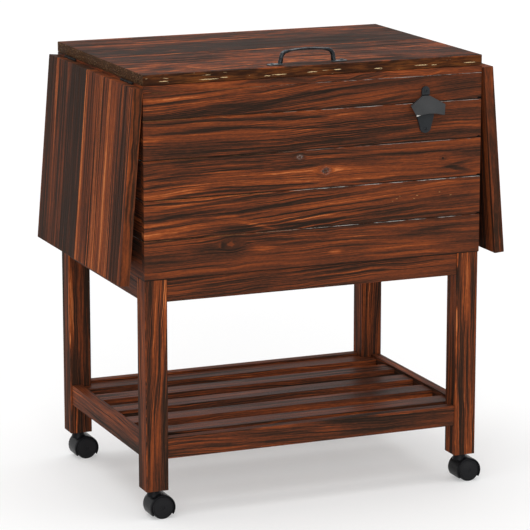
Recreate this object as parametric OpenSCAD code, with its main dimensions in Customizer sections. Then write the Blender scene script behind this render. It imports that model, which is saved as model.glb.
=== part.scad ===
// Wooden cooler cart: a boarded cabinet round a lidded ice tub, on four legs
// with casters, with a slatted shelf below and a drop leaf on each side that
// a pair of folding stays holds up.
// Origin on the floor under the middle of the cabinet, +Z up, front towards -Y.

/* [Cabinet] */
// Width of the cabinet over its boards
cabinet_w = 640; // [600:1:720]
// Depth of the cabinet over its boards
cabinet_d = 450; // [430:1:520]
// Number of full boards up each wall
board_n = 4; // [4:1:5]
// Pitch of the full boards
board_w = 69.5; // [66:0.5:80]
// Width of the narrow board under the rim
top_board_w = 48; // [44:1:60]
// Thickness of the boards
board_t = 12; // [10:0.5:15]
// Chamfer along the board edges that makes the grooves
groove = 1.6; // [0.8:0.1:2.4]
// Thickness of the rim strips
rim_t = 12; // [10:0.5:16]
// Thickness of the floor panel
floor_t = 12; // [9:0.5:16]
// Gap left at the seams between neighbouring boards
seam = 0.2; // [0.1:0.05:0.4]

/* [Legs] */
// Side of the square legs
leg_w = 41; // [38:0.5:46]
// Height of the legs below the cabinet
leg_h = 377; // [340:1:440]
// Distance of the leg faces behind the board faces
leg_inset = 1; // [0:0.5:3]
// Chamfer along the leg edges
leg_chamfer = 1.5; // [0.5:0.1:3]
// Height of the aprons
apron_h = 40; // [30:1:60]
// Thickness of the aprons and shelf rails
rail_t = 18; // [15:0.5:21]
// Distance of aprons and rails behind the leg faces
rail_inset = 3; // [1:0.5:6]

/* [Shelf] */
// Height of the shelf rails
shelf_rail_h = 37; // [30:1:50]
// Height of the rails' lower edge above the floor
shelf_z = 108; // [98:1:160]
// Number of slats
slat_n = 5; // [4:1:6]
// Width of a slat
slat_w = 43; // [36:1:50]
// Thickness of a slat
slat_t = 14; // [10:0.5:15]
// Distance of the slat tops below the rail tops
slat_drop = 4; // [2:0.5:6]
// Gap between the last slat and the front rail
slat_front_gap = 30; // [20:1:45]
// Gap between the first slat and the back rail
slat_back_gap = 1; // [0.5:0.5:4]
// Side of the square cleats under the slats
cleat_w = 15; // [12:1:18]

/* [Ice tub] */
// Thickness of the foam round the tub
foam_t = 28; // [26:1:36]
// Thickness of the foam under the tub
foam_floor = 28; // [20:1:40]
// Thickness of the tub wall
tub_wall = 2; // [1.5:0.1:3]
// Thickness of the tub's flange
flange_t = 1.5; // [1:0.1:2]
// Corner radius of the tub's mouth
tub_r = 20; // [15:1:30]
// Width of the gasket
gasket_w = 6; // [5:0.5:8]
// Depth of the gasket's groove in the rim
gasket_deep = 2.5; // [2:0.1:4]
// Corner radius of the gasket
gasket_r = 16; // [12:1:20]

/* [Drain] */
// Place of the drain left of the middle
drain_x = -190; // [-230:1:-60]
// Place of the drain behind the middle
drain_y = 90; // [-110:1:110]
// Bore of the drain
drain_bore_r = 7; // [5:0.5:8]
// Radius of the drain tube
drain_r = 10; // [9.5:0.5:12]
// Radius of the drain's flange in the tub
drain_flange_r = 20; // [16:1:26]
// Radius of the drain cap
cap_r = 16; // [15:0.5:20]
// Height of the drain cap
cap_h = 16; // [12:1:20]

/* [Lid] */
// Thickness of the lid boards
lid_t = 18; // [15:0.5:22]
// Gap between the rim and the lid
lid_gap = 1; // [0.6:0.1:2]
// Gap between the plug under the lid and the tub's mouth
plug_gap = 3; // [2:0.5:6]
// Depth of the foam under the lid
plug_foam = 20; // [16:1:30]
// Thickness of the plug's liner
liner_t = 1.5; // [1:0.1:2]
// Width of the battens under the lid
batten_w = 40; // [30:1:60]
// Thickness of the battens under the lid
batten_t = 12; // [9:0.5:14]
// Distance of the battens from the middle
batten_x = 150; // [100:1:200]
// Distance of the battens' ends from the liner
batten_end = 12; // [8:1:30]
// Farthest opening of the lid in degrees
lid_open = 95; // [92:1:100]

/* [Lid hinges] */
// Distance of the hinges from the middle
hinge_x = 200; // [120:1:250]
// Width of a hinge
hinge_w = 60; // [40:1:80]
// Thickness of the hinge plates
hinge_t = 2; // [1.5:0.1:2.5]
// Outer radius of the knuckles
knuckle_r = 3.5; // [3:0.1:4]
// Radius of the hinge pins
pin_r = 1.5; // [1.2:0.1:1.8]
// Length of the plate below the pin
hinge_drop = 33; // [20:1:44]

/* [Handle] */
// Distance of the handle in front of the middle
handle_y = 200; // [150:1:205]
// Distance of the handle to the left of the middle
handle_left = 7; // [-20:1:20]
// Distance of the posts from the middle, at the lid
post_x = 51; // [45:1:80]
// Distance of the posts from the middle, at the bow
bow_x = 47; // [38:1:60]
// Height of the bow's ends above the lid
bow_z = 21; // [16:1:35]
// Height of the bow's middle above its ends
bow_rise = 4.5; // [3:0.5:12]
// Radius of the bends between posts and bow
bend_r = 12; // [8:0.5:14]
// Radius of the posts
post_r = 3.7; // [3:0.1:5]
// Radius of the bow
bow_r = 2.4; // [2:0.1:4]
// Length of a foot beyond its post
foot_len = 25; // [16:1:30]
// Thickness of the feet
foot_t = 2.6; // [2:0.1:4]
// Radius of the handle's screws
screw_r = 1.8; // [1.5:0.1:2.2]
// Length of the screws
screw_len = 14; // [10:1:16]

/* [Bottle opener] */
// Distance of the opener from the cabinet's right end
opener_side = 111; // [80:1:500]
// Distance of its upper screw below the rim's strips
opener_drop = 26; // [20:1:40]
// Distance between its two screws
opener_pitch = 69; // [60:1:76]
// Thickness of its plate
opener_t = 4; // [3:0.1:5]
// Radius of the lug round its upper screw
lug_r = 7.5; // [6:0.5:9]
// Radius of its lower end
tail_r = 11; // [9:0.5:12]
// Half width of the plate under the hood
tail_half = 16; // [13:0.5:18]
// Distance that the hood stands out from the wall
hood_out = 25; // [20:1:30]
// Distance of the hood's shoulders below the upper screw
hood_shoulder = 26; // [22:1:30]
// Distance of the hood's lip below the upper screw
hood_lip = 42; // [38:1:46]
// Half width of the hood's lip
lip_half = 28; // [25:0.5:30]
// Radius of the arch in the hood's lip
arch_r = 93; // [70:1:140]
// Height of that arch
arch_rise = 4; // [2:0.5:8]
// Half width of the hood
hood_half = 34; // [28:0.5:38]
// Wall thickness of the hood
hood_wall = 3; // [2:0.1:4]

/* [Leaves] */
// Length of a leaf from its hinge edge
leaf_len = 340; // [320:1:370]
// Thickness of a leaf
leaf_t = 18; // [15:0.5:21]
// Distance that a leaf passes the cabinet's front
leaf_front = 6; // [0:0.5:12]
// Distance that a leaf stops short of the cabinet's back
leaf_back = 9; // [0:0.5:20]
// Width of a leaf's front board
leaf_board_w = 239; // [200:1:250]
// Outward lean of a hanging leaf in degrees
leaf_lean = 4.8; // [4.5:0.1:6]
// Clearance of a leaf from its pivot line
leaf_gap = 1; // [0.8:0.1:2]
// Depth of the pivot line below the rim's top
leaf_pivot_drop = 2.5; // [1.5:0.1:4]
// Distance of the pivot line outside the side boards
leaf_pivot_out = 0.5; // [0.3:0.1:1]
// Distance of the leaf hinges from the middle
leaf_hinge_y = 150; // [135:1:190]
// Width of a leaf hinge
leaf_hinge_w = 60; // [40:1:70]
// Outer radius of the leaf hinges' knuckles
leaf_knuckle_r = 2.8; // [2.4:0.1:3.2]
// Thickness of the leaf hinges' plates
leaf_plate_t = 1.8; // [1.4:0.1:2]
// Length of the leaf hinges' plates
leaf_plate_len = 28; // [20:1:32]
// Radius of the leaf hinges' pins
leaf_pin_r = 1.3; // [1:0.1:1.5]
// Distance of a leaf's batten from the pivot line
leaf_batten_s = 292; // [288:1:300]
// Width of a leaf's batten
leaf_batten_w = 34; // [28:1:40]
// Thickness of a leaf's batten
leaf_batten_t = 18; // [15:0.5:19]
// Distance of a leaf's batten from the ends of the leaf
leaf_batten_end = 61; // [40:1:80]
// Radius of the rubber bumpers
bumper_r = 8; // [6:0.5:10]
// Distance of the bumpers from the middle
bumper_y = 135; // [125:1:150]

/* [Stays] */
// Distance of the stays from the middle
stay_y = 92; // [60:1:100]
// Distance of a stay's pivot below the leaf's pivot line
stay_drop = 110; // [105:1:115]
// Length of a stay between its pivot and roller
stay_len = 170; // [165:1:175]
// Width of a stay
stay_w = 16; // [12:1:20]
// Thickness of a stay
stay_t = 3; // [2:0.1:3.4]
// Radius of a stay's eye
eye_r = 3.2; // [2.9:0.1:3.3]
// Radius of a stay's pin
stay_pin_r = 1.6; // [1.3:0.1:1.8]
// Radius of a stay's roller
roller_r = 3.5; // [3:0.1:4]
// Angle of a folded stay from the vertical in degrees
stay_rest = 2.4; // [2:0.1:3]
// Thickness of the stay's straps and seats
strap_t = 2; // [1.5:0.1:2.2]
// Width of the seat plates
seat_w = 26; // [20:1:30]
// Length of the seat plates beyond the raised roller
seat_len = 144; // [120:1:146]
// Length of the brackets above the stays' pins
bracket_up = 40; // [20:1:60]
// Length of the brackets below the stays' pins
bracket_down = 24; // [12:1:40]

/* [Casters] */
// Height of the casters
caster_h = 52; // [51:0.5:58]
// Radius of the wheels
wheel_r = 20; // [17:0.5:21]
// Thickness of each wheel
wheel_t = 14; // [10:0.5:15]
// Half of the distance between a pair's outer faces
wheel_half = 20; // [18:0.5:22]
// Distance of the axle from the swivel axis
trail = 10; // [6:0.5:14]
// Thickness of the hood's shell
hood_t = 2.5; // [1.5:0.1:3]
// Thickness of the web between the wheels
web_t = 8; // [6:0.5:8]
// Radius of the axle
axle_r = 3; // [2:0.1:4]
// Radius of the stem
stem_r = 4; // [3:0.1:5]
// Length of the stem inside the leg
stem_len = 32; // [25:1:40]

/* [Clearances] */
// Radial clearance of a turning fit
turn_fit = 0.06; // [0.04:0.01:0.09]
// Gap between pieces that are set into each other
set_gap = 0.3; // [0.2:0.05:0.5]

/* [Hidden] */
CORNERS = [["fl", -1, -1], ["fr", 1, -1], ["bl", -1, 1], ["br", 1, 1]];

cut = 1;                                     // overrun of every cut
wood = [0.55, 0.28, 0.14];
char_wood = [0.33, 0.19, 0.14];
pale_wood = [0.66, 0.40, 0.22];
steel = [0.62, 0.63, 0.65];
iron = [0.13, 0.13, 0.14];
rubber = [0.10, 0.10, 0.10];

half_w = cabinet_w / 2;
half_d = cabinet_d / 2;
in_x = half_w - board_t;                     // inner faces of the wall boards
in_y = half_d - board_t;
mouth_x = in_x - foam_t - tub_wall;          // half size of the tub's mouth
mouth_y = in_y - foam_t - tub_wall;
leg_x1 = half_w - leg_inset;                 // outer faces of the legs
leg_y1 = half_d - leg_inset;
leg_x0 = leg_x1 - leg_w;                     // inner faces of the legs
leg_y0 = leg_y1 - leg_w;
leg_x = leg_x1 - leg_w / 2;                  // axis of the legs
leg_y = leg_y1 - leg_w / 2;
rail_x1 = leg_x1 - rail_inset;               // outer faces of aprons and rails
rail_y1 = leg_y1 - rail_inset;
rail_x0 = rail_x1 - rail_t;
rail_y0 = rail_y1 - rail_t;
base_z = caster_h + leg_h;                   // underside of the cabinet
wall_z = base_z + board_n * board_w + top_board_w;
rim_z = wall_z + rim_t;
lid_z = rim_z + lid_gap;                     // underside of the lid
lid_top = lid_z + lid_t;
floor_z = base_z + floor_t;                  // top of the floor panel
tub_z = floor_z + foam_floor;                // underside of the tub
foam_top = wall_z - flange_t;
slat_z = shelf_z + shelf_rail_h - slat_drop - slat_t;
slat_y = rail_y0 - slat_back_gap - slat_w / 2;
slat_pitch = (2 * rail_y0 - slat_back_gap - slat_front_gap - slat_w) / (slat_n - 1);
plug_x = mouth_x - plug_gap;                 // half size of the lid's plug
plug_y = mouth_y - plug_gap;
plug_r = max(tub_r - plug_gap, 4);
plug_z = lid_z - plug_foam - liner_t;
rim_mid = (half_w - mouth_x) / 2;            // gasket line from the outer faces

opener_x = half_w - opener_side;
nut_h = 8;
nut_r = 17;
drain_flange_t = 3;
drain_end = floor_z - floor_t - nut_h - cap_h - 4;
cap_top = drain_end + cap_h - 4;

hinge_y = half_d + knuckle_r + 0.5;          // pivot line of the lid
hinge_z = lid_z;
hinge_clear = knuckle_r + 0.7;               // free radius round that line
segment_gap = 0.3;                           // between neighbouring knuckles
stop_out = 12;                               // reach of the stop behind the pivot
stop_w = 16;

leaf_px = half_w + leaf_pivot_out;           // pivot line of a leaf
leaf_pz = rim_z - leaf_pivot_drop;
leaf_y0 = -half_d - leaf_front;
leaf_y1 = half_d - leaf_back;
leaf_clear = leaf_knuckle_r + 0.5;
catch_gap = 1.2;
catch_deep = 1.5;
catch_len = 4;
stay_px = strap_t - leaf_pivot_out + eye_r + set_gap;
// height of the roller's centre, and with it the swing of a stay, where the
// raised leaf's seat lies just above the roller
roller_z = leaf_gap - strap_t - set_gap - roller_r;
stay_up = 90 + asin((roller_z + stay_drop) / stay_len);
roller_x = stay_px + stay_len * sin(stay_up);
ear_t = 2;
ear_gap = 0.3;

axle_z = wheel_r;
pocket_r = wheel_r + 1;
hood_r = pocket_r + hood_t;
hood_half_w = wheel_half + 1;
hood_cut = 13;                               // hood's lower edge below the axle
socket_wall = 1.5;
socket_r = stem_r + turn_fit + socket_wall;
socket_flange_t = 1.5;
neck_r = 11;

// A solid drawn on the right, put on one side, on both sides or at both ends

module on_side(s) {
  mirror([s < 0 ? 1 : 0, 0, 0])
    children();
}

module both_sides() {
  for (s = [-1, 1])
    on_side(s)
      children();
}

module both_ends(y) {
  for (s = [-1, 1])
    translate([0, s * y, 0])
      children();
}

module box(lo, hi) {
  translate(lo)
    cube(hi - lo);
}

// Upright block with round corners, centred on the origin

module round_block(hx, hy, r, z0, z1) {
  box([-hx + r, -hy, z0], [hx - r, hy, z1]);
  box([-hx, -hy + r, z0], [hx, hy - r, z1]);
  for (sx = [-1, 1], sy = [-1, 1])
    translate([sx * (hx - r), sy * (hy - r), z0])
      cylinder(r = r, h = z1 - z0, $fn = 64);
}

// Rod along X or Y, centred on the origin

module rod_x(r, len) {
  rotate([0, 90, 0])
    cylinder(r = r, h = len, center = true, $fn = 48);
}

module rod_y(r, len) {
  rotate([90, 0, 0])
    cylinder(r = r, h = len, center = true, $fn = 48);
}

// Plank along X that stands on edge, its chamfered face towards -Y at y = -t

module plank(len, w, t, c) {
  rotate([90, 0, 90])
    linear_extrude(len, center = true)
      polygon([[0, 0], [0, w], [c - t, w], [-t, w - c], [-t, c], [c - t, 0]]);
}

// Plank along X that lies flat, chamfered round its top edges

module flat_plank(len, w, t, c) {
  rotate([90, 0, 90])
    linear_extrude(len, center = true)
      polygon([[-w / 2, 0], [w / 2, 0], [w / 2, t - c], [w / 2 - c, t],
               [c - w / 2, t], [-w / 2, t - c]]);
}

// Legs, aprons and shelf

module leg(sx, sy) {
  c = leg_chamfer;
  h = leg_w / 2;
  color(wood)
    difference() {
      union() {
        translate([sx * leg_x, sy * leg_y, caster_h])
          linear_extrude(leg_h)
            polygon([[-h, c - h], [c - h, -h], [h - c, -h], [h, c - h],
                     [h, h - c], [h - c, h], [c - h, h], [-h, h - c]]);
        mirror([sx < 0 ? 1 : 0, 0, 0])
          mirror([0, sy < 0 ? 1 : 0, 0])
            box([leg_x0, leg_y0, base_z - cut], [in_x, in_y, foam_top]);
      }
      translate([sx * leg_x, sy * leg_y, caster_h - cut])
        cylinder(r = socket_r + turn_fit, h = stem_len + 4 + cut, $fn = 48);
    }
}

module rail_x(sy, z, h) {
  color(wood)
    mirror([0, sy < 0 ? 1 : 0, 0])
      box([-leg_x0, rail_y0, z], [leg_x0, rail_y1, z + h]);
}

module rail_y(sx, z, h) {
  color(wood)
    on_side(sx)
      box([rail_x0, -leg_y0, z], [rail_x1, leg_y0, z + h]);
}

module shelf_cleats() {
  color(pale_wood)
    both_sides()
      box([rail_x0 - cleat_w, -leg_y0, slat_z - cleat_w], [rail_x0, leg_y0, slat_z]);
}

module shelf_slat(i) {
  notch = set_gap + leg_x0;
  color(char_wood)
    difference() {
      translate([0, slat_y - i * slat_pitch, slat_z])
        flat_plank(2 * (rail_x0 - set_gap), slat_w, slat_t, 1);
      for (sx = [-1, 1], sy = [-1, 1])
        translate([sx * (leg_x - set_gap), sy * (leg_y - set_gap), slat_z])
          cube([leg_w, leg_w, 3 * slat_t], center = true);
    }
}

// Cabinet walls, rim and floor

module wall(len) {
  for (i = [0 : board_n])
    translate([0, 0, base_z + i * board_w])
      plank(len, (i < board_n ? board_w : top_board_w) - seam, board_t, groove);
}

module front_boards() {
  color(wood)
    difference() {
      translate([0, -in_y, 0])
        wall(cabinet_w);
      opener_screw_places()
        rod_y(screw_r + turn_fit, 2 * board_t + 2);
    }
}

module back_boards() {
  color(wood)
    rotate([0, 0, 180])
      translate([0, -in_y, 0])
        wall(cabinet_w);
}

module side_boards(s) {
  color(wood)
    difference() {
      on_side(s)
        translate([in_x, 0, 0])
          rotate([0, 0, 90])
            wall(2 * in_y);
      on_side(s)
        leaf_plate_pocket();
    }
}

module top_rim() {
  mitre = half_w - mouth_x;
  color(pale_wood)
    difference() {
      box([-half_w, -half_d, wall_z], [half_w, half_d, rim_z]);
      box([-mouth_x, -mouth_y, wall_z - cut], [mouth_x, mouth_y, rim_z + cut]);
      for (sx = [-1, 1], sy = [-1, 1])
        translate([sx * (half_w - mitre / 2), sy * (half_d - mitre / 2), wall_z - cut])
          rotate([0, 0, sx * sy * 45])
            translate([-mitre, -seam / 2, 0])
              cube([2 * mitre, seam, rim_t + 2 * cut]);
      gasket_loop(set_gap / 2, rim_z - gasket_deep, rim_z + cut);
      both_sides()
        leaf_plate_pocket();
    }
}

// Ring along the gasket line, widened on both sides by a gap

module gasket_loop(gap, z0, z1) {
  hx = half_w - rim_mid;
  hy = half_d - rim_mid;
  out = gasket_w / 2 + gap;
  difference() {
    round_block(hx + out, hy + out, gasket_r + out, z0, z1);
    round_block(hx - out, hy - out, gasket_r - out, z0 - cut, z1 + cut);
  }
}

module lid_gasket() {
  color(rubber)
    gasket_loop(0, rim_z - gasket_deep, lid_z);
}

// Holes for the four leg posts, with a gap

module post_notches(gap) {
  for (sx = [-1, 1], sy = [-1, 1])
    mirror([sx < 0 ? 1 : 0, 0, 0])
      mirror([0, sy < 0 ? 1 : 0, 0])
        box([leg_x0 - gap, leg_y0 - gap, base_z - cut], [half_w, half_d, wall_z]);
}

module floor_panel() {
  color(pale_wood)
    difference() {
      box([-in_x, -in_y, base_z], [in_x, in_y, floor_z]);
      post_notches(set_gap);
      translate([drain_x, drain_y, base_z - cut])
        cylinder(r = drain_r + set_gap, h = floor_t + 2 * cut, $fn = 64);
    }
}

module insulation() {
  color([0.93, 0.92, 0.86]) {
    difference() {
      box([-in_x, -in_y, floor_z], [in_x, in_y, tub_z]);
      post_notches(set_gap);
      translate([drain_x, drain_y, floor_z - cut])
        cylinder(r = drain_r + set_gap, h = foam_floor + 2 * cut, $fn = 64);
    }
    both_sides()
      box([in_x - foam_t + set_gap, set_gap - leg_y0, tub_z + seam],
          [in_x, leg_y0 - set_gap, foam_top]);
    for (s = [-1, 1])
      mirror([0, s < 0 ? 1 : 0, 0])
        box([set_gap - leg_x0, in_y - foam_t + set_gap, tub_z + seam],
            [leg_x0 - set_gap, in_y, foam_top]);
  }
}

module tub() {
  color(steel)
    difference() {
      union() {
        round_block(mouth_x + tub_wall, mouth_y + tub_wall, tub_r + tub_wall, tub_z, wall_z);
        box([seam - in_x, seam - in_y, foam_top], [in_x - seam, in_y - seam, wall_z]);
      }
      round_block(mouth_x, mouth_y, tub_r, tub_z + tub_wall, wall_z + cut);
      translate([drain_x, drain_y, tub_z - cut])
        cylinder(r = drain_r + set_gap, h = tub_wall + 2 * cut, $fn = 64);
    }
}

// Drain

module drain_spigot() {
  color([0.85, 0.85, 0.84])
    translate([drain_x, drain_y, 0])
      difference() {
        union() {
          translate([0, 0, drain_end])
            cylinder(r = drain_r, h = tub_z + tub_wall + cut - drain_end, $fn = 64);
          translate([0, 0, tub_z + tub_wall])
            cylinder(r = drain_flange_r, h = drain_flange_t, $fn = 64);
        }
        translate([0, 0, drain_end - cut])
          cylinder(r = drain_bore_r, h = tub_z + tub_wall + drain_flange_t + 2 * cut - drain_end,
                   $fn = 64);
      }
}

module drain_nut() {
  color([0.85, 0.85, 0.84])
    translate([drain_x, drain_y, base_z - nut_h])
      difference() {
        cylinder(r = nut_r, h = nut_h, $fn = 6);
        translate([0, 0, -cut])
          cylinder(r = drain_r + set_gap / 2, h = nut_h + 2 * cut, $fn = 64);
      }
}

module drain_cap() {
  color([0.12, 0.12, 0.13])
    translate([drain_x, drain_y, cap_top - cap_h])
      difference() {
        cylinder(r = cap_r, h = cap_h, $fn = 64);
        translate([0, 0, drain_end - cap_top + cap_h - set_gap])
          cylinder(r = drain_r + turn_fit, h = cap_h, $fn = 64);
      }
}

// Lid

module lid_boards() {
  w = half_d - seam / 2;
  color(wood)
    difference() {
      for (s = [-1, 1])
        translate([0, s * (half_d + seam / 2) / 2, lid_z])
          flat_plank(cabinet_w, w, lid_t, 0.8);
      handle_screw_places()
        cylinder(r = screw_r + turn_fit, h = 2 * screw_len, center = true, $fn = 32);
    }
}

module lid_battens() {
  color(pale_wood)
    for (s = [-1, 1])
      translate([s * batten_x, 0, lid_z - batten_t / 2])
        cube([batten_w, 2 * (plug_y - liner_t - batten_end), batten_t], center = true);
}

module lid_foam() {
  color([0.93, 0.92, 0.86])
    difference() {
      round_block(plug_x - liner_t - set_gap, plug_y - liner_t - set_gap,
                  plug_r - liner_t - set_gap, lid_z - plug_foam, lid_z);
      for (s = [-1, 1])
        translate([s * batten_x, 0, lid_z])
          cube([batten_w + 2 * set_gap, 2 * (plug_y - liner_t - batten_end + set_gap),
                2 * (batten_t + set_gap)], center = true);
    }
}

module lid_liner() {
  color([0.80, 0.81, 0.82])
    difference() {
      round_block(plug_x, plug_y, plug_r, plug_z, lid_z);
      round_block(plug_x - liner_t, plug_y - liner_t, plug_r - liner_t,
                  lid_z - plug_foam, lid_z + cut);
    }
}

// Knuckles of one hinge along X: every second of five, from an even or odd one

module knuckles(first) {
  pitch = hinge_w / 5;
  for (i = [first : 2 : 4])
    translate([(i - 2) * pitch, 0, 0])
      children();
}

// Fixed side of a lid hinge, with its pins and the stop that ends the opening

module lid_hinge_plate() {
  seg = hinge_w / 5 - segment_gap;
  back = half_d - hinge_y;                   // wall face seen from the pivot
  box([-hinge_w / 2, back, -hinge_drop], [hinge_w / 2, back + hinge_t, -hinge_clear]);
  knuckles(0) {
    rod_x(knuckle_r, seg);
    box([-seg / 2, back, -hinge_clear - 1], [seg / 2, back + hinge_t, 0]);
  }
  rod_x(pin_r, hinge_w - segment_gap);
}

// Stop behind the pivot, which the open lid's strap lies on

module lid_stop() {
  back = half_d - hinge_y;
  a = lid_open - 90;
  // the strap's outer face lies this far from the pivot line
  face = -(back + hinge_t);
  near = hinge_clear + 1.5;
  z_near = face / cos(a) - near * tan(a) - set_gap;
  z_far = face / cos(a) - stop_out * tan(a) - set_gap;
  rotate([90, 0, 90])
    linear_extrude(stop_w, center = true)
      polygon([[back, -hinge_clear - 5], [stop_out, -hinge_clear - 5], [stop_out, z_far],
               [near, z_near], [near, -hinge_clear - 2], [back, -hinge_clear - 2]]);
}

module lid_hinge_plates() {
  color(iron)
    for (s = [-1, 1])
      translate([s * hinge_x, hinge_y, hinge_z]) {
        lid_hinge_plate();
        lid_stop();
      }
}

module lid_hinge_straps() {
  seg = hinge_w / 5 - segment_gap;
  back = half_d - hinge_y;
  color(iron)
    for (s = [-1, 1])
      translate([s * hinge_x, hinge_y, hinge_z])
        difference() {
          union() {
            box([-hinge_w / 2, back, hinge_clear], [hinge_w / 2, back + hinge_t, lid_t - 1]);
            knuckles(1) {
              rod_x(knuckle_r, seg);
              box([-seg / 2, back, 0], [seg / 2, back + hinge_t, hinge_clear + 1]);
            }
          }
          rod_x(pin_r + turn_fit, hinge_w + 2);
        }
}

// Handle on the lid

module at_handle() {
  translate([-handle_left, -handle_y, lid_top])
    children();
}

module handle_screw_places() {
  for (s = [-1, 1])
    at_handle()
      translate([s * (post_x + foot_len * 0.6), 0, 0])
        children();
}

module lid_handle() {
  bow = (bow_x * bow_x + bow_rise * bow_rise) / (2 * bow_rise);
  bow_c = bow_z + bow_rise - bow;            // height of the bow's centre
  lean = atan((post_x - bow_x) / bow_z);
  end_r = bow_r + 0.6;                       // radius at the bends
  // the bend touches the post's line and the bow, and its centre lies t along
  // the post and bend_r to its inner side
  px = post_x - bend_r * cos(lean);
  pz = -bend_r * sin(lean) - bow_c;
  half = pz * cos(lean) - px * sin(lean);
  t = sqrt(half * half + pow(bow - bend_r, 2) - px * px - pz * pz) - half;
  bend_x = px - t * sin(lean);
  bend_z = pz + t * cos(lean);
  turn = atan(bend_x / bend_z);              // half of the bow's angle
  sunk = 0.5;                                // of the bow's angle, in each bend
  color(iron)
    difference() {
      at_handle() {
        translate([0, 0, bow_c])
          rotate([90, 0, 0])
            rotate([0, 0, 90 - turn - sunk])
              rotate_extrude(angle = 2 * (turn + sunk), $fn = 96)
                translate([bow, 0])
                  circle(r = bow_r, $fn = 32);
        both_sides() {
          translate([post_x, 0, 0]) {
            rotate([0, -lean, 0])
              cylinder(r1 = post_r, r2 = end_r - 0.2, h = t + 1, $fn = 32);
            cylinder(r = post_r + 1.5, h = foot_t + 0.6, $fn = 32);
            translate([foot_len / 2, 0, foot_t / 2])
              cube([foot_len, 8, foot_t], center = true);
            translate([foot_len * 0.6, 0, 0])
              cylinder(r = 6, h = foot_t, $fn = 48);
          }
          translate([bend_x, 0, bow_c + bend_z])
            rotate([90, 0, 0])
              rotate([0, 0, lean])
                rotate_extrude(angle = 90 - turn - lean, $fn = 96)
                  translate([bend_r, 0])
                    circle(r = end_r, $fn = 32);
        }
      }
      handle_screw_places()
        cylinder(r = screw_r + turn_fit, h = 2 * screw_len, center = true, $fn = 32);
      box([-cabinet_w, -cabinet_d, lid_z], [cabinet_w, 0, lid_top]);
    }
}

module handle_screws() {
  color(iron)
    handle_screw_places() {
      translate([0, 0, -screw_len])
        cylinder(r = screw_r, h = screw_len + foot_t + 0.5, $fn = 32);
      translate([0, 0, foot_t])
        cylinder(r = 3.4, h = 1.6, $fn = 32);
    }
}

// Bottle opener on the front

module opener_screw_places() {
  for (i = [0, 1])
    translate([opener_x, -half_d, wall_z - opener_drop - i * opener_pitch])
      children();
}

// Rod that stands out from the wall at a place on the opener, seen from the front

module peg(u, v, r, out0, out1) {
  translate([u, -out1, v])
    rotate([-90, 0, 0])
      cylinder(r = r, h = out1 - out0, $fn = 32);
}

module bottle_opener() {
  tail = tail_r - lug_r * 0.9 - opener_pitch;  // height of the tail's centre
  slope = (hood_out - opener_t) / (hood_lip - lug_r);
  shoulder_out = opener_t + slope * (hood_shoulder - lug_r);
  r = 2;                                     // rounding of the hood's corners
  w = hood_wall;
  color(iron)
    translate([opener_x, -half_d, wall_z - opener_drop])
      difference() {
        union() {
          peg(0, 0, lug_r, 0, opener_t);
          peg(0, tail, tail_r, 0, opener_t);
          rotate([90, 0, 0])
            linear_extrude(opener_t)
              polygon([[-lug_r, 0], [lug_r, 0], [tail_half, -hood_shoulder],
                       [tail_half, -hood_lip - 5], [tail_r, tail], [-tail_r, tail],
                       [-tail_half, -hood_lip - 5], [-tail_half, -hood_shoulder]]);
          difference() {
            hull()
              for (s = [-1, 1]) {
                peg(s * (lug_r + 2.5 - r), -lug_r - r, r, 0, opener_t);
                peg(s * (hood_half - r), -hood_shoulder, r, 0, shoulder_out);
                peg(s * (lip_half - r), r - hood_lip, r, 4, hood_out);
              }
            hull()
              for (s = [-1, 1]) {
                peg(s * lug_r, -lug_r - r - 2 * w, r, opener_t - w, opener_t);
                peg(s * (hood_half - r - w), -hood_shoulder - w, r, -cut, shoulder_out - w);
                peg(s * (lip_half - r - w), -hood_lip, r, -cut, hood_out - w / 2);
                peg(s * (lip_half - r - w), -hood_lip - 9, r, -cut, hood_out - w / 2);
              }
            translate([0, 0, -hood_lip - arch_r + arch_rise])
              rod_y(arch_r, 4 * hood_out);
          }
          // tooth that grips the cap's edge
          translate([-5, -opener_t - 4, -hood_lip])
            cube([10, 5, 3]);
        }
        peg(0, 0, screw_r + turn_fit, -cut, 2 * opener_t);
        peg(0, -opener_pitch, screw_r + turn_fit, -cut, 2 * opener_t);
      }
}

module opener_screws() {
  color(steel)
    opener_screw_places() {
      translate([0, (board_t - 1 - opener_t) / 2, 0])
        rod_y(screw_r, board_t - 1 + opener_t);
      peg(0, 0, 3.4, opener_t, opener_t + 1.6);
    }
}

// Leaves. A leaf is drawn raised, its pivot line on the Y axis and +X outwards,
// and is then turned down to where it hangs.

module hang_leaf(s) {
  on_side(s)
    translate([leaf_px, 0, leaf_pz])
      rotate([0, 90 - leaf_lean, 0])
        children();
}

module leaf(s) {
  color(wood)
    hang_leaf(s)
      difference() {
        union() {
          leaf_board(leaf_y0, leaf_y0 + leaf_board_w - seam);
          leaf_board(leaf_y0 + leaf_board_w, leaf_y1);
          box([leaf_batten_s, leaf_y0 + leaf_batten_end, leaf_gap - leaf_batten_t],
              [leaf_batten_s + leaf_batten_w, leaf_y1 - leaf_batten_end, leaf_gap - seam / 2]);
        }
        both_ends(leaf_hinge_y) {
          rod_y(leaf_clear, leaf_hinge_w + 1);
          box([0, -leaf_hinge_w / 2 - set_gap, 0],
              [leaf_plate_len + set_gap, leaf_hinge_w / 2 + set_gap, leaf_gap + leaf_plate_t]);
        }
      }
}

module leaf_board(y0, y1) {
  c = 0.8;
  translate([leaf_gap, (y0 + y1) / 2, leaf_gap])
    rotate([90, 0, 0])
      linear_extrude(y1 - y0, center = true)
        polygon([[0, 0], [leaf_len, 0], [leaf_len, leaf_t - c], [leaf_len - c, leaf_t],
                 [c, leaf_t], [0, leaf_t - c]]);
}

// Pocket in the rim and side boards for the fixed plates of the leaf hinges

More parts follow.
